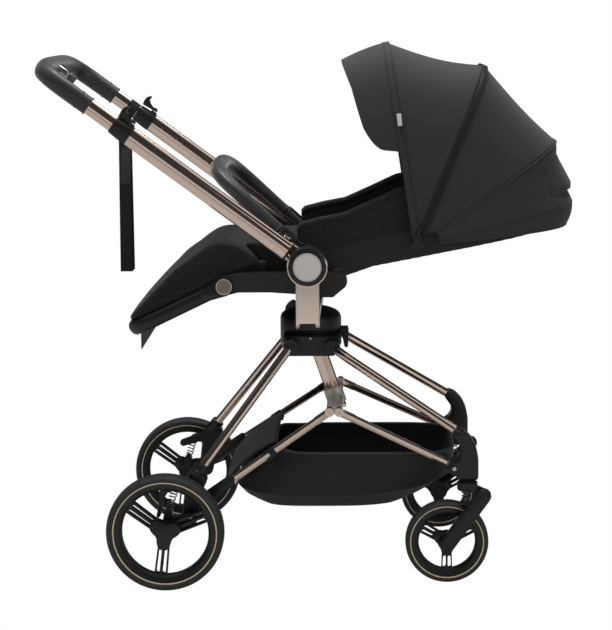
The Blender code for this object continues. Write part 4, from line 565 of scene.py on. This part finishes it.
# End, axle, track, radius, rim radius, width and number of ribs.
WHEELS = (("rear", REAR_AXLE, 0.277, 0.127, 0.1118, 0.044, 160),
          ("front", FRONT_AXLE, 0.218, 0.090, 0.0795, 0.038, 120))
# How far a hub cap stands off the track, and a boss's tips, its waist and its lean in degrees.
CAP_OFFSET = {"rear": 0.0185, "front": -0.0150}
BOSS = {"rear": (0.0365, 0.0205, 23), "front": (0.030, 0.0190, 30)}
rubber = surface("rubber", (0.038, 0.038, 0.040), 0.62, scale=800.0, spread=0.15, bump=0.2)
gold = surface("gold", (1.0, 0.80, 0.55), 0.30, 0.15, scale=60.0, spread=0.03, bump=0.02)


def ribbed_tyre(end, side, axle, track, radius, rim_radius, width, ribs):
    """Tyre turned in fine steps; its tread has a shallow rib between each pair of grooves."""
    half = width / 2
    wall = radius - rim_radius
    profile = [(rim_radius, -half * 0.72), (rim_radius + wall * 0.20, -half * 0.94),
               (rim_radius + wall * 0.45, -half), (radius - wall * 0.28, -half * 0.95),
               (radius - wall * 0.08, -half * 0.78), (radius, -half * 0.45), (radius, 0.0)]
    profile += [(r, -h) for r, h in reversed(profile[:-1])]
    shape = spun(profile, 4 * ribs)
    for vert in shape.verts:
        distance = math.hypot(vert.co.x, vert.co.z)
        if distance > radius - wall * 0.35:
            phase = round(math.atan2(vert.co.x, vert.co.z) / math.tau * 4 * ribs) % 4
            shrink = 1 - (RIB_DEPTH if phase in (0, 1) else 0.0) / distance
            vert.co.x *= shrink
            vert.co.z *= shrink
    bmesh.ops.translate(shape, vec=(axle[0], track, axle[1]), verts=shape.verts)
    piece = collect(end + "_tread_" + side, shape, rubber, end + "_wheel_" + side, 60)
    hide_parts(end + "_tyre_" + side)


def boss_outline(turn, axle, tip, waist, lean):
    """Rounded triangle with hollow sides, its tips on the spokes."""
    swell = 0.5 + 0.5 * math.cos(3 * (turn - math.radians(lean)))
    reach = waist + (tip - waist) * min(swell * 1.08, 1.0) ** 1.15
    return axle[0] + reach * math.cos(turn), axle[1] + reach * math.sin(turn)


def rim_trim(end, side, sign, axle, track, radius, half):
    """Gold lines, inner lip, the two bosses and the hub cap of one wheel."""
    body = end + "_wheel_" + side
    centre = (axle[0], sign * track, axle[1])
    for face, tag in ((-1, "b"), (1, "a")):
        height = half * 0.72 * face
        line = [(radius - 0.0018, height - 0.001 * face), (radius - 0.0018, height + 0.0010 * face),
                (radius + 0.0014, height + 0.0013 * face), (radius + 0.0018, height - 0.0004 * face)]
        turned(end + "_line_" + side + tag, line, centre, gold, body, 128)
    lip = [(radius - 0.0130, -half * 0.52), (radius - 0.0130, half * 0.52), (radius - 0.0185, half * 0.30),
           (radius - 0.0185, -half * 0.30)]
    turned(end + "_lip_" + side, lip, centre, satin_black, body, 128)
    for face, tag in ((-1, "b"), (1, "a")):
        depth = 0.0195 if face > 0 and end == "rear" else half * 0.60
        low, high = (track + face * half * 0.30, track + face * depth)
        plate(end + "_boss_" + side + tag, lambda turn: boss_outline(turn, axle, *BOSS[end]), 96,
              sign * low, sign * high, satin_black, body, ease=0.0016)
    outer = track + CAP_OFFSET[end]
    cap = [(0.0, outer), (0.0095, outer), (0.0105, outer - 0.0012), (0.0105, outer - 0.0030),
           (0.0, outer - 0.0030)]
    turned(end + "_hub_cap_" + side, sided(cap, sign), (axle[0], 0, axle[1]), satin_black, body, 48)


for side, sign in SIDES.items():
    for end, axle, track, radius, rim_radius, width, ribs in WHEELS:
        ribbed_tyre(end, side, axle, sign * track, radius, rim_radius, width, ribs)
    for end, axle, track, radius, rim_radius, width, ribs in WHEELS:
        dress(end + "_rim_" + side, satin_black, edge=0.0008, limit=50)
        rim_trim(end, side, sign, axle, track, rim_radius, width / 2)

# Suspension, casters and brake
# Moulded black crowns and arms on bright screws, and coil springs of steel wire.
# Each arm carries its wheel's axle and is pinned to its crown or housing.
FRONT_ARM_PIN = (0.3745, 0.1980)
PANEL_RADIUS = 0.0122
# Label, place seen from the side, how far out the head stands, and the body that it rides on.
SCREWS = (("front_eye", (0.3125, 0.2525), 0.2312, "front_legs"),
          ("rear_low", (-0.2560, 0.1480), 0.2497, "rear_arm_"),
          ("rear_high", (-0.2450, 0.2230), 0.2497, "rear_legs"))
spring_wire = surface("spring_wire", (0.36, 0.36, 0.37), 0.30, 1.0, scale=500.0, spread=0.08, bump=0.05)


def arm_panel(turn):
    """Border of the sunken panel on the front arm: a long ring with round ends."""
    along = Vector(FRONT_ARM_PIN) - Vector(FRONT_AXLE)
    place = Vector((math.cos(turn), math.sin(turn))) * PANEL_RADIUS
    end = Vector(FRONT_AXLE) + along * (0.98 if place.dot(along) > 0 else 0.02)
    return end.x + place.x, end.y + place.y


for side, sign in SIDES.items():
    for node in ("caster_", "front_arm_", "rear_arm_"):
        dress(node + side, satin_black, edge=0.0012)
    plate("front_arm_panel_" + side, arm_panel, 64, sign * 0.2550, sign * 0.2574, satin_black,
          "front_arm_" + side, ease=0.0010)
    for node in ("front_spring_", "rear_spring_"):
        piece = dress(node + side, spring_wire, edge=0)
        piece.modifiers.remove(piece.modifiers["clean"])
    for label, spot, y, body in SCREWS:
        head = [(0.0, y), (0.0042, y), (0.0046, y - 0.0006), (0.0046, y - 0.0015), (0.0, y - 0.0015)]
        carrier = body + side if body.endswith("_") else body
        turned(label + "_screw_" + side, sided(head, sign), (spot[0], 0, spot[1]), bright_steel, carrier,
               32)
dress("brake_pedal", satin_black)

# Seat frame, footrest frame and their caps
# Black moulded rails and a bent oval tube; a bronze cap with a pale rim covers each footrest pivot.
# The rails plug into the yoke, and the footrest turns on their front ends.
FOOTREST_PIVOT = (-0.180, 0, 0.647)
FOOTREST_CAP = ((0.0, 0.2055), (0.0150, 0.2055), (0.0147, 0.2074), (0.0, 0.2078))
FOOTREST_RIM = ((0.0152, 0.2055), (0.0170, 0.2055), (0.0168, 0.2073), (0.0154, 0.2075))
bronze = surface("bronze", (0.34, 0.26, 0.19), 0.32, 1.0, scale=90.0, spread=0.05, bump=0.03)
dress("seat_frame", satin_black, edge=0.0010, limit=45)
dress("footrest_frame", satin_black, edge=0.0008, limit=45)
for side, sign in SIDES.items():
    for label, profile, material in (("bronze", FOOTREST_CAP, bronze), ("pale", FOOTREST_RIM, pale_metal)):
        turned("footrest_cap_" + label + "_" + side, sided(profile, sign), FOOTREST_PIVOT, material,
               "footrest", 64)

# Bumper bar
# Padded loop in stitched leatherette over a bent tube, plugged into two posts of the seat frame.
# A clip with a small metal button locks each of its ends.
BUMPER_TRACK = 0.186
BUMPER_SLOPE = 42.3
BUMPER_REACH = 0.2515
bumper_along = Vector((-0.186, 0, 0.169)).normalized()
bumper_above = Vector((0.169, 0, 0.186)).normalized()
dress("bumper_bar", leather, limit=50)


def on_bumper(distance, y):
    """Point on the bumper loop's plane."""
    return Vector((-0.012, y, 0.722)) + bumper_along * distance


def bumper_sizes(share):
    """Half axes of the padded cover, which is fullest round its bend."""
    full = min(1.0, math.sin(math.pi * share) ** 0.7 * 1.25)
    return 0.0128 + 0.0052 * full, 0.0128 + 0.0042 * full


padded_tube("bumper_cover", loop_path(on_bumper, 0.066, BUMPER_REACH, BUMPER_TRACK, 0.50), bumper_above,
            bumper_sizes, leather, "bumper")
for side, sign in SIDES.items():
    for index, distance in enumerate((0.062, 0.070)):
        hoop("bumper_seam_" + side + str(index), on_bumper(distance, sign * BUMPER_TRACK),
             bumper_above * 0.0134, Vector((0, 0.0134, 0)), 0.0010, leather, "bumper")
    block("bumper_clip_" + side, (0.046, 0.0125, 0.0300), on_bumper(0.044, sign * 0.1905), satin_black,
          "bumper", turn=BUMPER_SLOPE, ease=0.003)
    block("bumper_button_" + side, (0.016, 0.0030, 0.0100), on_bumper(0.044, sign * 0.1975), bright_steel,
          "bumper", turn=BUMPER_SLOPE, ease=0.001)

# Canopy
# Woven charcoal cloth sewn in panels and stretched over two bows, with a visor and a zip.
# Seams are folded over a thin cord, and a rolled flap hangs at the head end.
canopy_cloth = surface("canopy_cloth", (0.037, 0.037, 0.040), 0.85, scale=1400.0, spread=0.30, bump=0.35,
                       sheen=0.15)
canopy_lining = surface("canopy_lining", (0.022, 0.022, 0.024), 0.90, spread=0.25, bump=0.3)
CANOPY_PIVOT = (0.233, 0.730)
ROUNDNESS = 3.2
# Bows and seams as stations: angle from the vertical in degrees, reach from the pivot, half width.
FRONT_BOW = (-8.4, 0.430, 0.1925)
MIDDLE_BOW = (21.9, 0.403, 0.1878)
REAR_SEAM = (55.6, 0.373, 0.1830)
HEAD_END = (REAR_SEAM, (61.2, 0.350, 0.1822), (70.4, 0.3455, 0.1805), (76.6, 0.3543, 0.1785),
            (80.8, 0.3472, 0.1770), (84.5, 0.334, 0.1760))
VISOR_TOP = (-8.1, 0.4315, 0.1940)
VISOR_EDGE = (-22.2, 0.421, 0.1900)
# Distance from the pivot at which a bow, its cloth and the rear seam end.
BOW_FOOT = 0.022
CLOTH_FOOT = 0.024
REAR_FOOT = 0.050
CLOTH_INSET = 0.0012


def out_at(reach, turn):
    """Distance from the pivots' line at a turn along a bow."""
    return reach * abs(math.sin(turn)) ** (2 / ROUNDNESS)


def fan_point(angle, reach, half_width, turn):
    """Point on a bow: its angle from the vertical, reach and half width, and the turn along it."""
    out = out_at(reach, turn)
    y = half_width * math.copysign(abs(math.cos(turn)) ** (2 / ROUNDNESS), math.cos(turn))
    lean = math.radians(angle)
    return Vector((CANOPY_PIVOT[0] + out * math.sin(lean), y, CANOPY_PIVOT[1] + out * math.cos(lean)))


def border(spot, along, down):
    """Points down one side of a sheet, along its far edge and up its other side."""
    return ([spot(0, i / down) for i in range(down + 1)] + [spot(i / along, 1) for i in range(1, along)]
            + [spot(1, 1 - i / down) for i in range(down + 1)])


def turn_at(share, reach, inner_radius):
    """Turn along a bow for a share of its way between the two spots at the inner radius."""
    first = math.asin((inner_radius / reach) ** (ROUNDNESS / 2))
    return first + (math.pi - 2 * first) * share


def band(first, last, first_gap, last_gap, sag, inner_first, inner_last):
    """Placement of a cloth band between two bows, dipping between them."""
    def spot(share, step):
        angle, reach, half_width = mixed(first, last, step)
        reach = reach - sag * 4 * step * (1 - step)
        inner = inner_first + (inner_last - inner_first) * step
        turn = turn_at(share, reach, inner)
        shift = math.degrees((first_gap * (1 - step) - last_gap * step) / out_at(reach, turn))
        return fan_point(angle + shift, reach, half_width - CLOTH_INSET, turn)
    return spot


def on_bow(station, share, shift, inner, lift):
    """Point over a bow: a share of the way along it, shifted across it and lifted off it."""
    angle, reach, half_width = station
    turn = turn_at(share, reach + lift, inner)
    lean = angle + math.degrees(shift / out_at(reach + lift, turn))
    return fan_point(lean, reach + lift, half_width + lift, turn)


def seam_line(station, shift, inner, lift, steps=70):
    """Points along a bow, shifted across it by a distance and lifted off the cloth."""
    return [on_bow(station, i / steps, shift, inner, lift) for i in range(steps + 1)]


dress("canopy_middle_bow", satin_black)
front_spot = band(FRONT_BOW, MIDDLE_BOW, 0.002, 0.002, 0.024, CLOTH_FOOT, CLOTH_FOOT)
front_band = sheet_piece("canopy_front_cloth", front_spot, 96, 24, canopy_cloth, 0.0022, canopy_lining)
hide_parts("canopy_front_panel")
declare(front_spot)
middle_spot = band(MIDDLE_BOW, REAR_SEAM, 0.002, 0.0, 0.022, CLOTH_FOOT, REAR_FOOT)
middle_band = sheet_piece("canopy_middle_cloth", middle_spot, 96, 24, canopy_cloth, 0.0022, canopy_lining)
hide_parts("canopy_middle_panel")
declare(middle_spot)


def visor_spot(share, step):
    """Placement of the visor; its low corners are rounded and flare a little to the front."""
    angle, reach, half_width = mixed(VISOR_TOP, VISOR_EDGE, step)
    inner = 0.204 + 0.020 * step + 0.052 * step ** 9
    turn = turn_at(share, reach, inner)
    flare = 2.0 * step * clipped((0.36 - out_at(reach, turn)) / 0.10)
    return fan_point(angle - flare, reach, half_width - CLOTH_INSET, turn)


visor = sheet_piece("canopy_visor", visor_spot, 120, 28, canopy_cloth, 0.0024, canopy_lining)
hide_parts("canopy_front_bow")
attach(visor, "canopy_front")
declare(visor_spot)


def back_spot(share, step):
    """Placement of the head end: it turns in from the rear seam to the low edge."""
    section = min(int(step * 5), 4)
    first, last = HEAD_END[section:section + 2]
    return band(first, last, 0.0, 0.0, -0.001, REAR_FOOT, REAR_FOOT)(share, step * 5 - section)


back_cloth = sheet_piece("canopy_back_cloth", back_spot, 96, 30, canopy_cloth, 0.0022, canopy_lining)
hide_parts("canopy_back_panel")
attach(back_cloth, "backrest")
declare(back_spot)

for name, station, body, width, cloth in (("front", FRONT_BOW, "canopy_front", 0.0060, canopy_cloth),
                                          ("middle", MIDDLE_BOW, "canopy_middle", 0.0065, canopy_lining)):

    def tape_spot(share, step, station=station, width=width):
        """Placement of a tape that lies on a bow and reaches its width to either side."""
        return on_bow(station, share, width * (2 * step - 1), BOW_FOOT, 0.0022)

    tape = sheet_piece("canopy_" + name + "_tape", tape_spot, 96, 4, cloth, 0.0016)
    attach(tape, body)
    declare(tape_spot)
    for label, shift in (("a", -width), ("b", width)):
        seam = seam_line(station, shift, BOW_FOOT, 0.0030)
        piping("canopy_" + name + "_seam_" + label, seam, 0.0011, cloth, body)
for name, station, foot, lift, radius, cloth, body in (
        ("zip_teeth", MIDDLE_BOW, BOW_FOOT, 0.0032, 0.0012, satin_black, "canopy_middle"),
        ("rear_seam", REAR_SEAM, REAR_FOOT, 0.0012, 0.0016, canopy_cloth, "backrest"),
        ("low_seam", HEAD_END[3], REAR_FOOT, 0.0008, 0.0010, canopy_cloth, "backrest"),
        ("back_edge", HEAD_END[5], REAR_FOOT, 0.0, 0.0022, canopy_cloth, "backrest")):
    piping("canopy_" + name, seam_line(station, 0.0, foot, lift), radius, cloth, body)
piping("canopy_visor_edge", border(visor_spot, 80, 24), 0.0020, canopy_cloth, "canopy_front")
block("canopy_zip_puller", (0.0070, 0.0030, 0.042), (0.2325, -0.2000, 0.7500), satin_black, "canopy_middle",
      turn=20, ease=0.0012)
block("canopy_tag", (0.0095, 0.0012, 0.0260), (0.1958, -0.1965, 1.0000), white_rim, "canopy_front", turn=-6,
      ease=0.0004)
block("canopy_tag_foot", (0.0060, 0.0012, 0.0200), (0.1992, -0.1965, 0.9760), satin_black, "canopy_front",
      turn=-6, ease=0.0004)

# Side views (x, z) of the rolled flap in the middle, and of the cloth that its ends run into.
FLAP_OUTER = ((0.5430, 0.9120), (0.5480, 0.9010), (0.5640, 0.8720), (0.5740, 0.8530), (0.5740, 0.8430),
              (0.5660, 0.8390))
FLAP_INNER = ((0.5405, 0.9120), (0.5400, 0.9000), (0.5480, 0.8760), (0.5545, 0.8600), (0.5585, 0.8480),
              (0.5620, 0.8360))
FLAP_HALF = 0.126
HEAD_HALF = 0.181


def station_at(stations, step):
    """Values at a share of the way through a row of stations."""
    sections = len(stations) - 1
    index = min(int(step * sections), sections - 1)
    return mixed(stations[index], stations[index + 1], step * sections - index)


def flap_spot(share, step):
    """Placement of the rolled flap; its ends run into the cloth of the head end."""
    y = FLAP_HALF * (1 - 2 * share)
    proud = 1 - (abs(y) / FLAP_HALF) ** 5
    follow = (1 - (abs(y) / HEAD_HALF) ** ROUNDNESS) ** (1 / ROUNDNESS)
    x, z = mixed(station_at(FLAP_INNER, step), station_at(FLAP_OUTER, step), proud)
    x, z = mixed(CANOPY_PIVOT, (x, z), follow)
    return Vector((x, y, z))


flap = sheet_piece("canopy_flap", flap_spot, 48, 30, canopy_cloth, 0.0024)
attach(flap, "backrest")
declare(flap_spot)

# Seat tub, pads and liner
# Foam boards in smooth black cloth outside and a deep knit inside; the wings end in a rolled edge.
# The seat pad and the footrest pad are quilted foam, sewn along channels.
black_knit = surface("black_knit", (0.014, 0.014, 0.015), 0.90, texture="Voronoi", scale=330.0,
                     spread=0.6, bump=0.8, sheen=0.1)
smooth_cloth = surface("smooth_cloth", (0.012, 0.012, 0.013), 0.62, scale=1100.0, spread=0.2, bump=0.2,
                       sheen=0.05)
WING_TOP = ((-0.0185, 0.7660), (-0.0120, 0.7735), (0.0263, 0.7830), (0.0800, 0.7930), (0.1330, 0.8165),
            (0.1970, 0.8460), (0.2330, 0.8530))
SEAT_CHANNELS = (-0.100, -0.035, 0.030)
FOOT_CHANNELS = (0.045, 0.105, 0.160)
FOOT_PIPING = ((-0.200, 0.7050), (-0.233, 0.6940), (-0.270, 0.6740), (-0.305, 0.6480), (-0.335, 0.6220))


def settle(piece):
    """Apply what the modifiers give at this frame."""
    graph = bpy.context.evaluated_depsgraph_get()
    graph.update()
    mesh = bpy.data.meshes.new_from_object(piece.evaluated_get(graph))
    old = piece.data
    piece.modifiers.clear()
    piece.data = mesh
    bpy.data.meshes.remove(old)
    return piece


def voxel_even(piece, size):
    """Turn a closed piece into an even mesh of small quads."""
    remesh = piece.modifiers.new("remesh", "REMESH")
    remesh.mode = "VOXEL"
    remesh.voxel_size = size
    remesh.use_smooth_shade = True
    return settle(piece)


def even_copy(name, node, size):
    """Even quad mesh of a CAD solid, ready to be padded."""
    piece = added(name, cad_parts[node].data.copy())
    plain_mesh(piece)
    return voxel_even(piece, size)


def smoothed(shape, repeats):
    """Let the corners of a bmesh run together."""
    for repeat in range(repeats):
        bmesh.ops.smooth_vert(shape, verts=shape.verts, factor=0.5, use_axis_x=True, use_axis_y=True,
                              use_axis_z=True)


def pad_out(piece, pinned, pressure, most):
    """Swell a pad by a cloth simulation under pressure, held along its seams, and cap how far it moves."""
    rest = [vert.co.copy() for vert in piece.data.vertices]
    group = piece.vertex_groups.new(name="seams")
    for vert in piece.data.vertices:
        group.add([vert.index], 1.0 if pinned(vert.co) else 0.0, "REPLACE")
    cloth = piece.modifiers.new("cloth", "CLOTH")
    cloth.settings.quality = 4
    cloth.settings.mass = 0.3
    cloth.settings.use_pressure = True
    cloth.settings.uniform_pressure_force = pressure
    cloth.settings.vertex_group_mass = "seams"
    cloth.settings.effector_weights.gravity = 0.0
    cloth.collision_settings.use_collision = False
    cloth.point_cache.frame_start = 1
    cloth.point_cache.frame_end = 20
    for step in range(1, 21):
        scene.frame_set(step)
    settle(piece)
    scene.frame_set(1)
    for vert, start in zip(piece.data.vertices, rest):
        move = vert.co - start
        if move.length > most:
            vert.co = start + move.normalized() * most


def near_line(value, lines, width):
    """Whether a value lies within a width of one of the lines."""
    return any(abs(value - line) < width for line in lines)


def seam_height(x):
    """Height of the seam that runs along the tub's side, above its smooth underside."""
    return 0.7295 + 0.19 * (x - 0.06)


tub = even_copy("seat_tub", "backrest_shell", 0.0042)
shape = bmesh.new()
shape.from_mesh(tub.data)
smoothed(shape, 2)
for vert in shape.verts:
    below = seam_height(vert.co.x) - vert.co.z
    vert.co.z += 0.019 * clipped(below / 0.055) * clipped((vert.co.x - 0.02) / 0.12)
shape.to_mesh(tub.data)
shape.free()
cover(tub, black_knit, smooth_cloth)
for face in tub.data.polygons:
    spot = face.center
    outside = abs(spot.y) > 0.1600 or spot.x > 0.50
    face.material_index = int((outside and spot.z < seam_height(spot.x)) or face.normal.z < -0.6)
    face.use_smooth = True
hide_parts("backrest_shell")
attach(tub, "backrest")
for side, sign in SIDES.items():
    wing = [(x, sign * 0.1625, z) for x, z in WING_TOP]
    piping("wing_roll_" + side, wing, 0.0090, black_knit, "backrest")
    seam = [(x, sign * 0.1692, seam_height(x)) for x in (-0.018, 0.02, 0.06, 0.10, 0.15, 0.20, 0.233)]
    piping("tub_seam_" + side, seam, 0.0012, smooth_cloth, "backrest")

seat_pad = even_copy("seat_pad", "seat_cushion", 0.0055)
pad_out(seat_pad, lambda spot: spot.z < 0.660 or near_line(spot.x, SEAT_CHANNELS, 0.004), 3.0, 0.006)
cover(seat_pad, black_knit)
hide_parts("seat_cushion")
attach(seat_pad, "seat")
block("seat_skirt", (0.078, 0.330, 0.036), (-0.127, 0.0, 0.6810), smooth_cloth, "seat", ease=0.008)

foot_pad = even_copy("foot_pad", "footrest_cushion", 0.0050)
foot_along = Vector((-0.9014, 0, -0.4329))
foot_above = Vector((-0.4329, 0, 0.9014))


def foot_place(spot):
    """Distance of a spot along the foot pad from its hinge, and its height above the hinge."""
    local = spot - Vector(FOOTREST_PIVOT)
    return local.dot(foot_along), local.dot(foot_above)


def foot_seams(spot):
    """Channels across the foot pad, and its flat underside."""
    distance, height = foot_place(spot)
    return height < 0.020 or spot.x < -0.355 or near_line(distance, FOOT_CHANNELS, 0.004)


pad_out(foot_pad, foot_seams, 3.0, 0.007)
cover(foot_pad, black_knit, smooth_cloth)
for face in foot_pad.data.polygons:
    face.material_index = int(foot_place(face.center)[1] < 0.030 or face.center.x < -0.372)
    face.use_smooth = True
for vert in foot_pad.data.vertices:
    distance, height = foot_place(vert.co)
    low = clipped((0.024 - height) / 0.010)
    reach = clipped((distance + 0.02) / 0.04) * clipped((0.212 - distance) / 0.02)
    vert.co -= foot_above * 0.012 * low * reach
    if vert.co.z < 0.560 and vert.co.x < -0.350:
        vert.co.z = 0.560 - (0.560 - vert.co.z) * 0.70
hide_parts("footrest_cushion")
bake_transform(foot_pad)
foot_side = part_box("footrest_cushion")[1][1] + 0.0005
for side, sign in SIDES.items():
    for label, drop in (("upper", 0.0), ("lower", -0.024)):
        points = [(x, sign * foot_side, z + drop * (1 + (x + 0.2) * 3.5)) for x, z in FOOT_PIPING]
        piping("foot_piping_" + label + "_" + side, points, 0.0016, smooth_cloth, "footrest")

# Moulded housings of the suspension
# Nylon castings whose corners run into each other, pressed onto the lower ends of the legs.
# A swan neck carries each front leg down to its caster; a ribbed fork carries each rear arm.
NECK_CORNERS = ((0.3180, 0.3390), (0.3344, 0.3330), (0.3507, 0.3165), (0.3605, 0.2960), (0.3648, 0.2730),
                (0.3648, 0.2250), (0.3213, 0.2250), (0.3186, 0.2330), (0.3060, 0.2375), (0.2975, 0.2450),
                (0.2975, 0.2580), (0.3060, 0.2660), (0.3190, 0.2740), (0.3262, 0.2880), (0.3240, 0.3030),
                (0.3160, 0.3140), (0.3070, 0.3260))
NECK_INNER = 0.1790
NECK_OUTER = 0.2300


def soften(piece, node, body, repeats):
    """Even the mesh of a casting and let its corners run together."""
    shape = bmesh.new()
    shape.from_mesh(piece.data)
    smoothed(shape, repeats)
    shape.to_mesh(piece.data)
    shape.free()
    cover(piece, satin_black)
    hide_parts(node)
    if body:
        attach(piece, body)


for side, sign in SIDES.items():
    neck = plate("front_neck_" + side, lambda turn: corner_spot(NECK_CORNERS, turn), 102, sign * NECK_INNER,
                 sign * NECK_OUTER, satin_black, "front_legs", ease=0.004)
    soften(voxel_even(neck, 0.0024), "front_housing_" + side, None, 14)
    casting = even_copy("rear_casting_" + side, "rear_housing_" + side, 0.0022)
    soften(casting, "rear_housing_" + side, "rear_legs", 5)

# Basket
# Bag of coated black cloth that sags between the struts, with a piped rim and a stiff flap at the back.
# It hangs by sewn tabs at its four corners; a moulded clip on each rear strut holds the rear ones.
basket_cloth = surface("basket_cloth", (0.016, 0.016, 0.017), 0.66, spread=0.25, bump=0.25,
                       sheen=0.1)
basket_grey = surface("basket_grey", (0.060, 0.060, 0.063), 0.70, spread=0.2, bump=0.25,
                      sheen=0.1)
# From rim to floor: rear x, front x, half width, height, and how far the front and the rear rise.
BASKET_LEVELS = ((-0.078, 0.318, 0.150, 0.268, 0.0, 0.062), (-0.128, 0.318, 0.150, 0.236, 0.004, 0.010),
                 (-0.165, 0.312, 0.148, 0.171, 0.048, 0.016), (-0.150, 0.270, 0.100, 0.146, 0.052, 0.020),
                 (-0.100, 0.190, 0.045, 0.122, 0.030, 0.010), (0.040, 0.060, 0.004, 0.120, 0.0, 0.0))
BASKET_CORNER = 0.40
REAR_FLAP_LOW = (-0.186, 0.2020)
REAR_FLAP_TOP = (-0.074, 0.2960)
REAR_FLAP_HALF = 0.146


def basket_spot(share, step):
    """Placement of the bag, from its rim down its wall to the middle of its sagging floor."""
    rear, front, half_width, height, front_rise, rear_rise = station_at(BASKET_LEVELS, step)
    cos = math.cos(math.tau * share)
    sin = math.sin(math.tau * share)
    x = (front + rear) / 2 + (front - rear) / 2 * math.copysign(abs(cos) ** BASKET_CORNER, cos)
    y = half_width * math.copysign(abs(sin) ** BASKET_CORNER, sin)
    forward = max(0.0, (x - 0.06) / 0.26)
    backward = clipped((-0.02 - x) / 0.15)
    sag = 0.006 * math.sin(math.pi * min(step * 2.5, 1.0)) * (0.5 + 0.5 * math.cos(math.tau * share * 4))
    z = height + front_rise * forward ** 2 + rear_rise * backward ** 2 - sag
    return Vector((x, y * (1 + sag * 4), z))


bag = sheet_piece("basket_bag", basket_spot, 144, 60, basket_cloth, 0.0028)
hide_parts("basket")
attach(bag, "hub_base")
declare(basket_spot)
for label, step, radius in (("basket_rim", 0.0, 0.0030), ("basket_seam", 0.40, 0.0014)):
    piping(label, [basket_spot(i / 144, step) for i in range(144)], radius, basket_grey, "hub_base", True)
for side, sign in SIDES.items():
    block("basket_tab_front_" + side, (0.018, 0.036, 0.003), (0.294, sign * 0.1655, 0.2610), webbing,
          "hub_base", ease=0.001, tilt=-12 * sign)
    block("basket_tab_rear_" + side, (0.020, 0.032, 0.004), (-0.081, sign * 0.1640, 0.2775), webbing,
          "hub_base", ease=0.001)
    block("strut_clip_" + side, (0.028, 0.0150, 0.0215), (-0.086, sign * 0.1862, 0.2768), satin_black,
          "rear_struts", turn=-34.3, ease=0.003)


def rear_flap(share, step):
    """Stiff flap that leans from the back of the basket up to the rear struts."""
    y = REAR_FLAP_HALF * (1 - 2 * share)
    low = Vector((REAR_FLAP_LOW[0], y, REAR_FLAP_LOW[1]))
    high = Vector((REAR_FLAP_TOP[0], y, REAR_FLAP_TOP[1]))
    return low.lerp(high, step) + Vector((-0.006, 0, 0.008)) * 4 * step * (1 - step)


flap_board = sheet_piece("basket_flap", rear_flap, 30, 16, basket_grey, 0.0030)
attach(flap_board, "hub_base")
declare(rear_flap)
flap_edge = border(rear_flap, 20, 12) + [rear_flap(1 - i / 20, 0) for i in range(1, 20)]
piping("basket_flap_edge", flap_edge, 0.0022, basket_cloth, "hub_base", True)

# Cloth over the hinges
# The front and middle bands are sewn to the bows on both of their sides; here each band only has its
# placement baked into its mesh, and the bodies and middle angle listed for it are not used.
for cloth, first, second, angle in ((front_band, "canopy_middle", "canopy_front", 6.75),
                                    (middle_band, "backrest", "canopy_middle", 38.75)):
    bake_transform(cloth)
